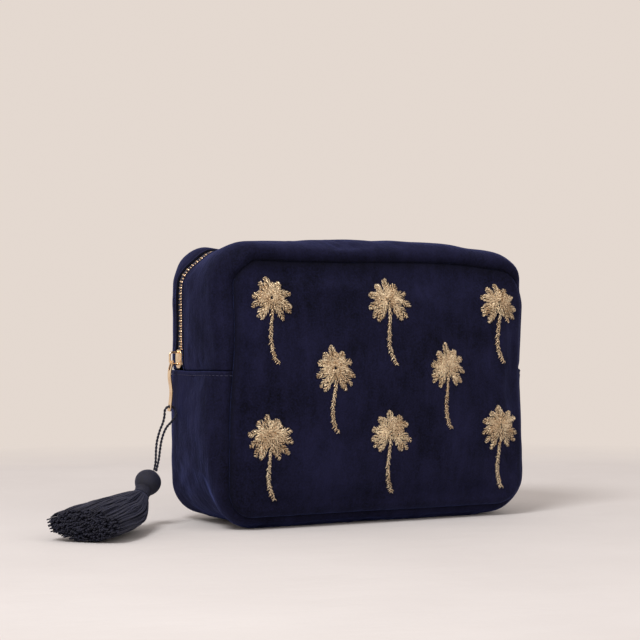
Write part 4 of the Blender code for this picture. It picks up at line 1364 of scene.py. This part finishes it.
def on_front(x, z, proud):
    """A point on the finished front panel at x and z, standing proud of the cloth along its normal."""
    rows, columns = front_grid.shape[:2]
    across = np.arcsin(np.clip(x / half_width(z, PANEL_INSET), -1, 1)) / math.pi + 0.5
    upward = np.arcsin(np.clip((z - SEAM_MIDDLE) / (SEAM_HEIGHT / 2 - PANEL_INSET), -1, 1)) / math.pi + 0.5
    j, i = across * (columns - 1), upward * (rows - 1)
    j0, i0 = np.minimum(j.astype(int), columns - 2), np.minimum(i.astype(int), rows - 2)
    u, v = (j - j0)[..., None], (i - i0)[..., None]

    def pick(grid):
        low = grid[i0, j0] * (1 - u) + grid[i0, j0 + 1] * u
        high = grid[i0 + 1, j0] * (1 - u) + grid[i0 + 1, j0 + 1] * u
        return low * (1 - v) + high * v

    normal = unit(pick(front_normals))
    return pick(front_grid) + normal * np.asarray(proud)[..., None], normal


FRONDS = [  # direction in degrees, length and droop as shares of the crown's half size
    (97, 0.96, 0.02),
    (60, 0.86, 0.10),
    (132, 0.94, 0.10),
    (27, 1.02, 0.26),
    (163, 1.02, 0.22),
    (-6, 1.02, 0.34),
    (192, 0.98, 0.26),
    (-33, 1.06, 0.26),
    (218, 1.02, 0.22),
    (-62, 1.14, 0.04),
    (244, 1.16, 0.04),
    (80, 0.62, 0.00),
    (44, 0.70, 0.10),
    (148, 0.70, 0.12),
    (12, 0.66, 0.20),
    (178, 0.66, 0.20),
]


def frond_stitches(rng):
    """Where each stitch of a crown starts and ends: pairs along each frond's spine, that lean to its tip.

    Past the pairs come the spine's own stitches, which lie over them, and a few in the crown's middle.
    """
    starts, ends, lifts = [], [], []
    for degrees, length, droop in FRONDS:
        turn = math.radians(degrees + rng.uniform(-6, 6))
        length *= rng.uniform(0.93, 1.03)
        t = np.linspace(0.12, 0.97, int(10 * length) + 2)
        spine = np.stack([length * math.cos(turn) * t, length * math.sin(turn) * t - droop * t**2], axis=-1)
        ahead = unit(np.gradient(spine, axis=0))
        side = np.stack([-ahead[:, 1], ahead[:, 0]], axis=-1)
        leaf = 0.155 * np.sin(np.clip(t * 1.05, 0, 1) * math.pi) ** 0.7 + 0.05
        for sign in (-1, 1):
            wobble = rng.uniform(0.75, 1.15, (len(t), 1))
            start = spine - ahead * 0.03 + sign * side * 0.012
            starts.append(start)
            ends.append(start + (ahead * 1.0 + sign * side * 0.8) * leaf[:, None] * wobble)
            lifts.append(0.9 + 0.3 * rng.uniform(-1, 1, len(t)))
        starts.append(spine[:-1])
        ends.append(spine[1:] + ahead[1:] * 0.04)
        lifts.append(np.full(len(t) - 1, 1.6))
    middle = rng.normal(size=(16, 2)) * 0.12
    starts.append(middle)
    ends.append(middle + unit(rng.normal(size=(16, 2))) * 0.16)
    lifts.append(np.full(16, 2.0))
    return np.concatenate(starts) * CROWN_HALF, np.concatenate(ends) * CROWN_HALF, np.concatenate(lifts)


def stem_stitches(rng, length):
    """Chevrons down the stem, with a nub out of each side now and then. Down is measured from the crown."""
    down = np.linspace(-0.0045, length, 34)
    share = np.clip(down / length, 0, 1)
    sway = 0.0036 * share**5 - 0.0016 * np.sin(2.6 * share)
    spine = np.stack([sway, -down], axis=-1)
    half = 0.00085 + 0.00045 * share
    starts, ends = [], []
    for sign in (-1, 1):
        out = half * rng.uniform(0.85, 1.15, len(down))
        nub = np.where(np.arange(len(down)) % 4 == (0 if sign > 0 else 2), 1.55, 1.0)
        starts.append(spine + np.stack([0 * out, 0 * out + 0.0004], axis=-1))
        ends.append(spine + np.stack([sign * out * nub, -0.0012 + 0 * out], axis=-1))
    return np.concatenate(starts), np.concatenate(ends), np.full(2 * len(down), 1.0)


def make_palm(number, x, top, seed):
    """One palm of metallic stitches: each is a low arch of thread over the cloth."""
    rng = np.random.default_rng(seed)
    crown = frond_stitches(rng)
    stem_length = PALM_HEIGHT - CROWN_HALF * 2 + 0.006
    stem = stem_stitches(rng, stem_length)
    crown_z = top - CROWN_DROP
    crown_from = np.array([x, crown_z])
    stem_from = np.array([x, top - PALM_HEIGHT + stem_length])
    start = np.concatenate([crown[0] + crown_from, stem[0] + stem_from])
    end = np.concatenate([crown[1] + crown_from, stem[1] + stem_from])
    lift = np.concatenate([crown[2], stem[2]])
    share = np.linspace(0, 1, 5)[None, :]
    arch = np.sin(math.pi * share)
    bow = unit(np.stack([end[:, 1] - start[:, 1], start[:, 0] - end[:, 0]], axis=-1))
    bow *= rng.uniform(-0.0005, 0.0005, (len(start), 1))
    flat = start[:, None] + (end - start)[:, None] * share[..., None] + bow[:, None] * arch[..., None]
    proud = STITCH_FOOT + lift[:, None] * STITCH_RISE * arch
    path, normal = on_front(flat[..., 0], flat[..., 1], proud)
    radii = STITCH_RADIUS * (0.55 + 0.45 * arch) * rng.uniform(0.85, 1.2, (len(start), 1))
    points, faces = tubes(path, radii, 5, normal)
    piece = add_piece(f"palm_{number}", points, faces, gold_thread, "gold_thread")
    mouth(piece, "front", f"palm_crown_{number}", f"palm_trunk_{number}")


palm_number = 0
for palm_top, palm_places in zip(PALM_TOPS, ((-1, 0, 1), (-0.5, 0.5), (-1, 0, 1))):
    for palm_place in palm_places:
        palm_number += 1
        make_palm(palm_number, PALM_SHIFT + palm_place * PALM_PITCH, palm_top, 100 + palm_number)
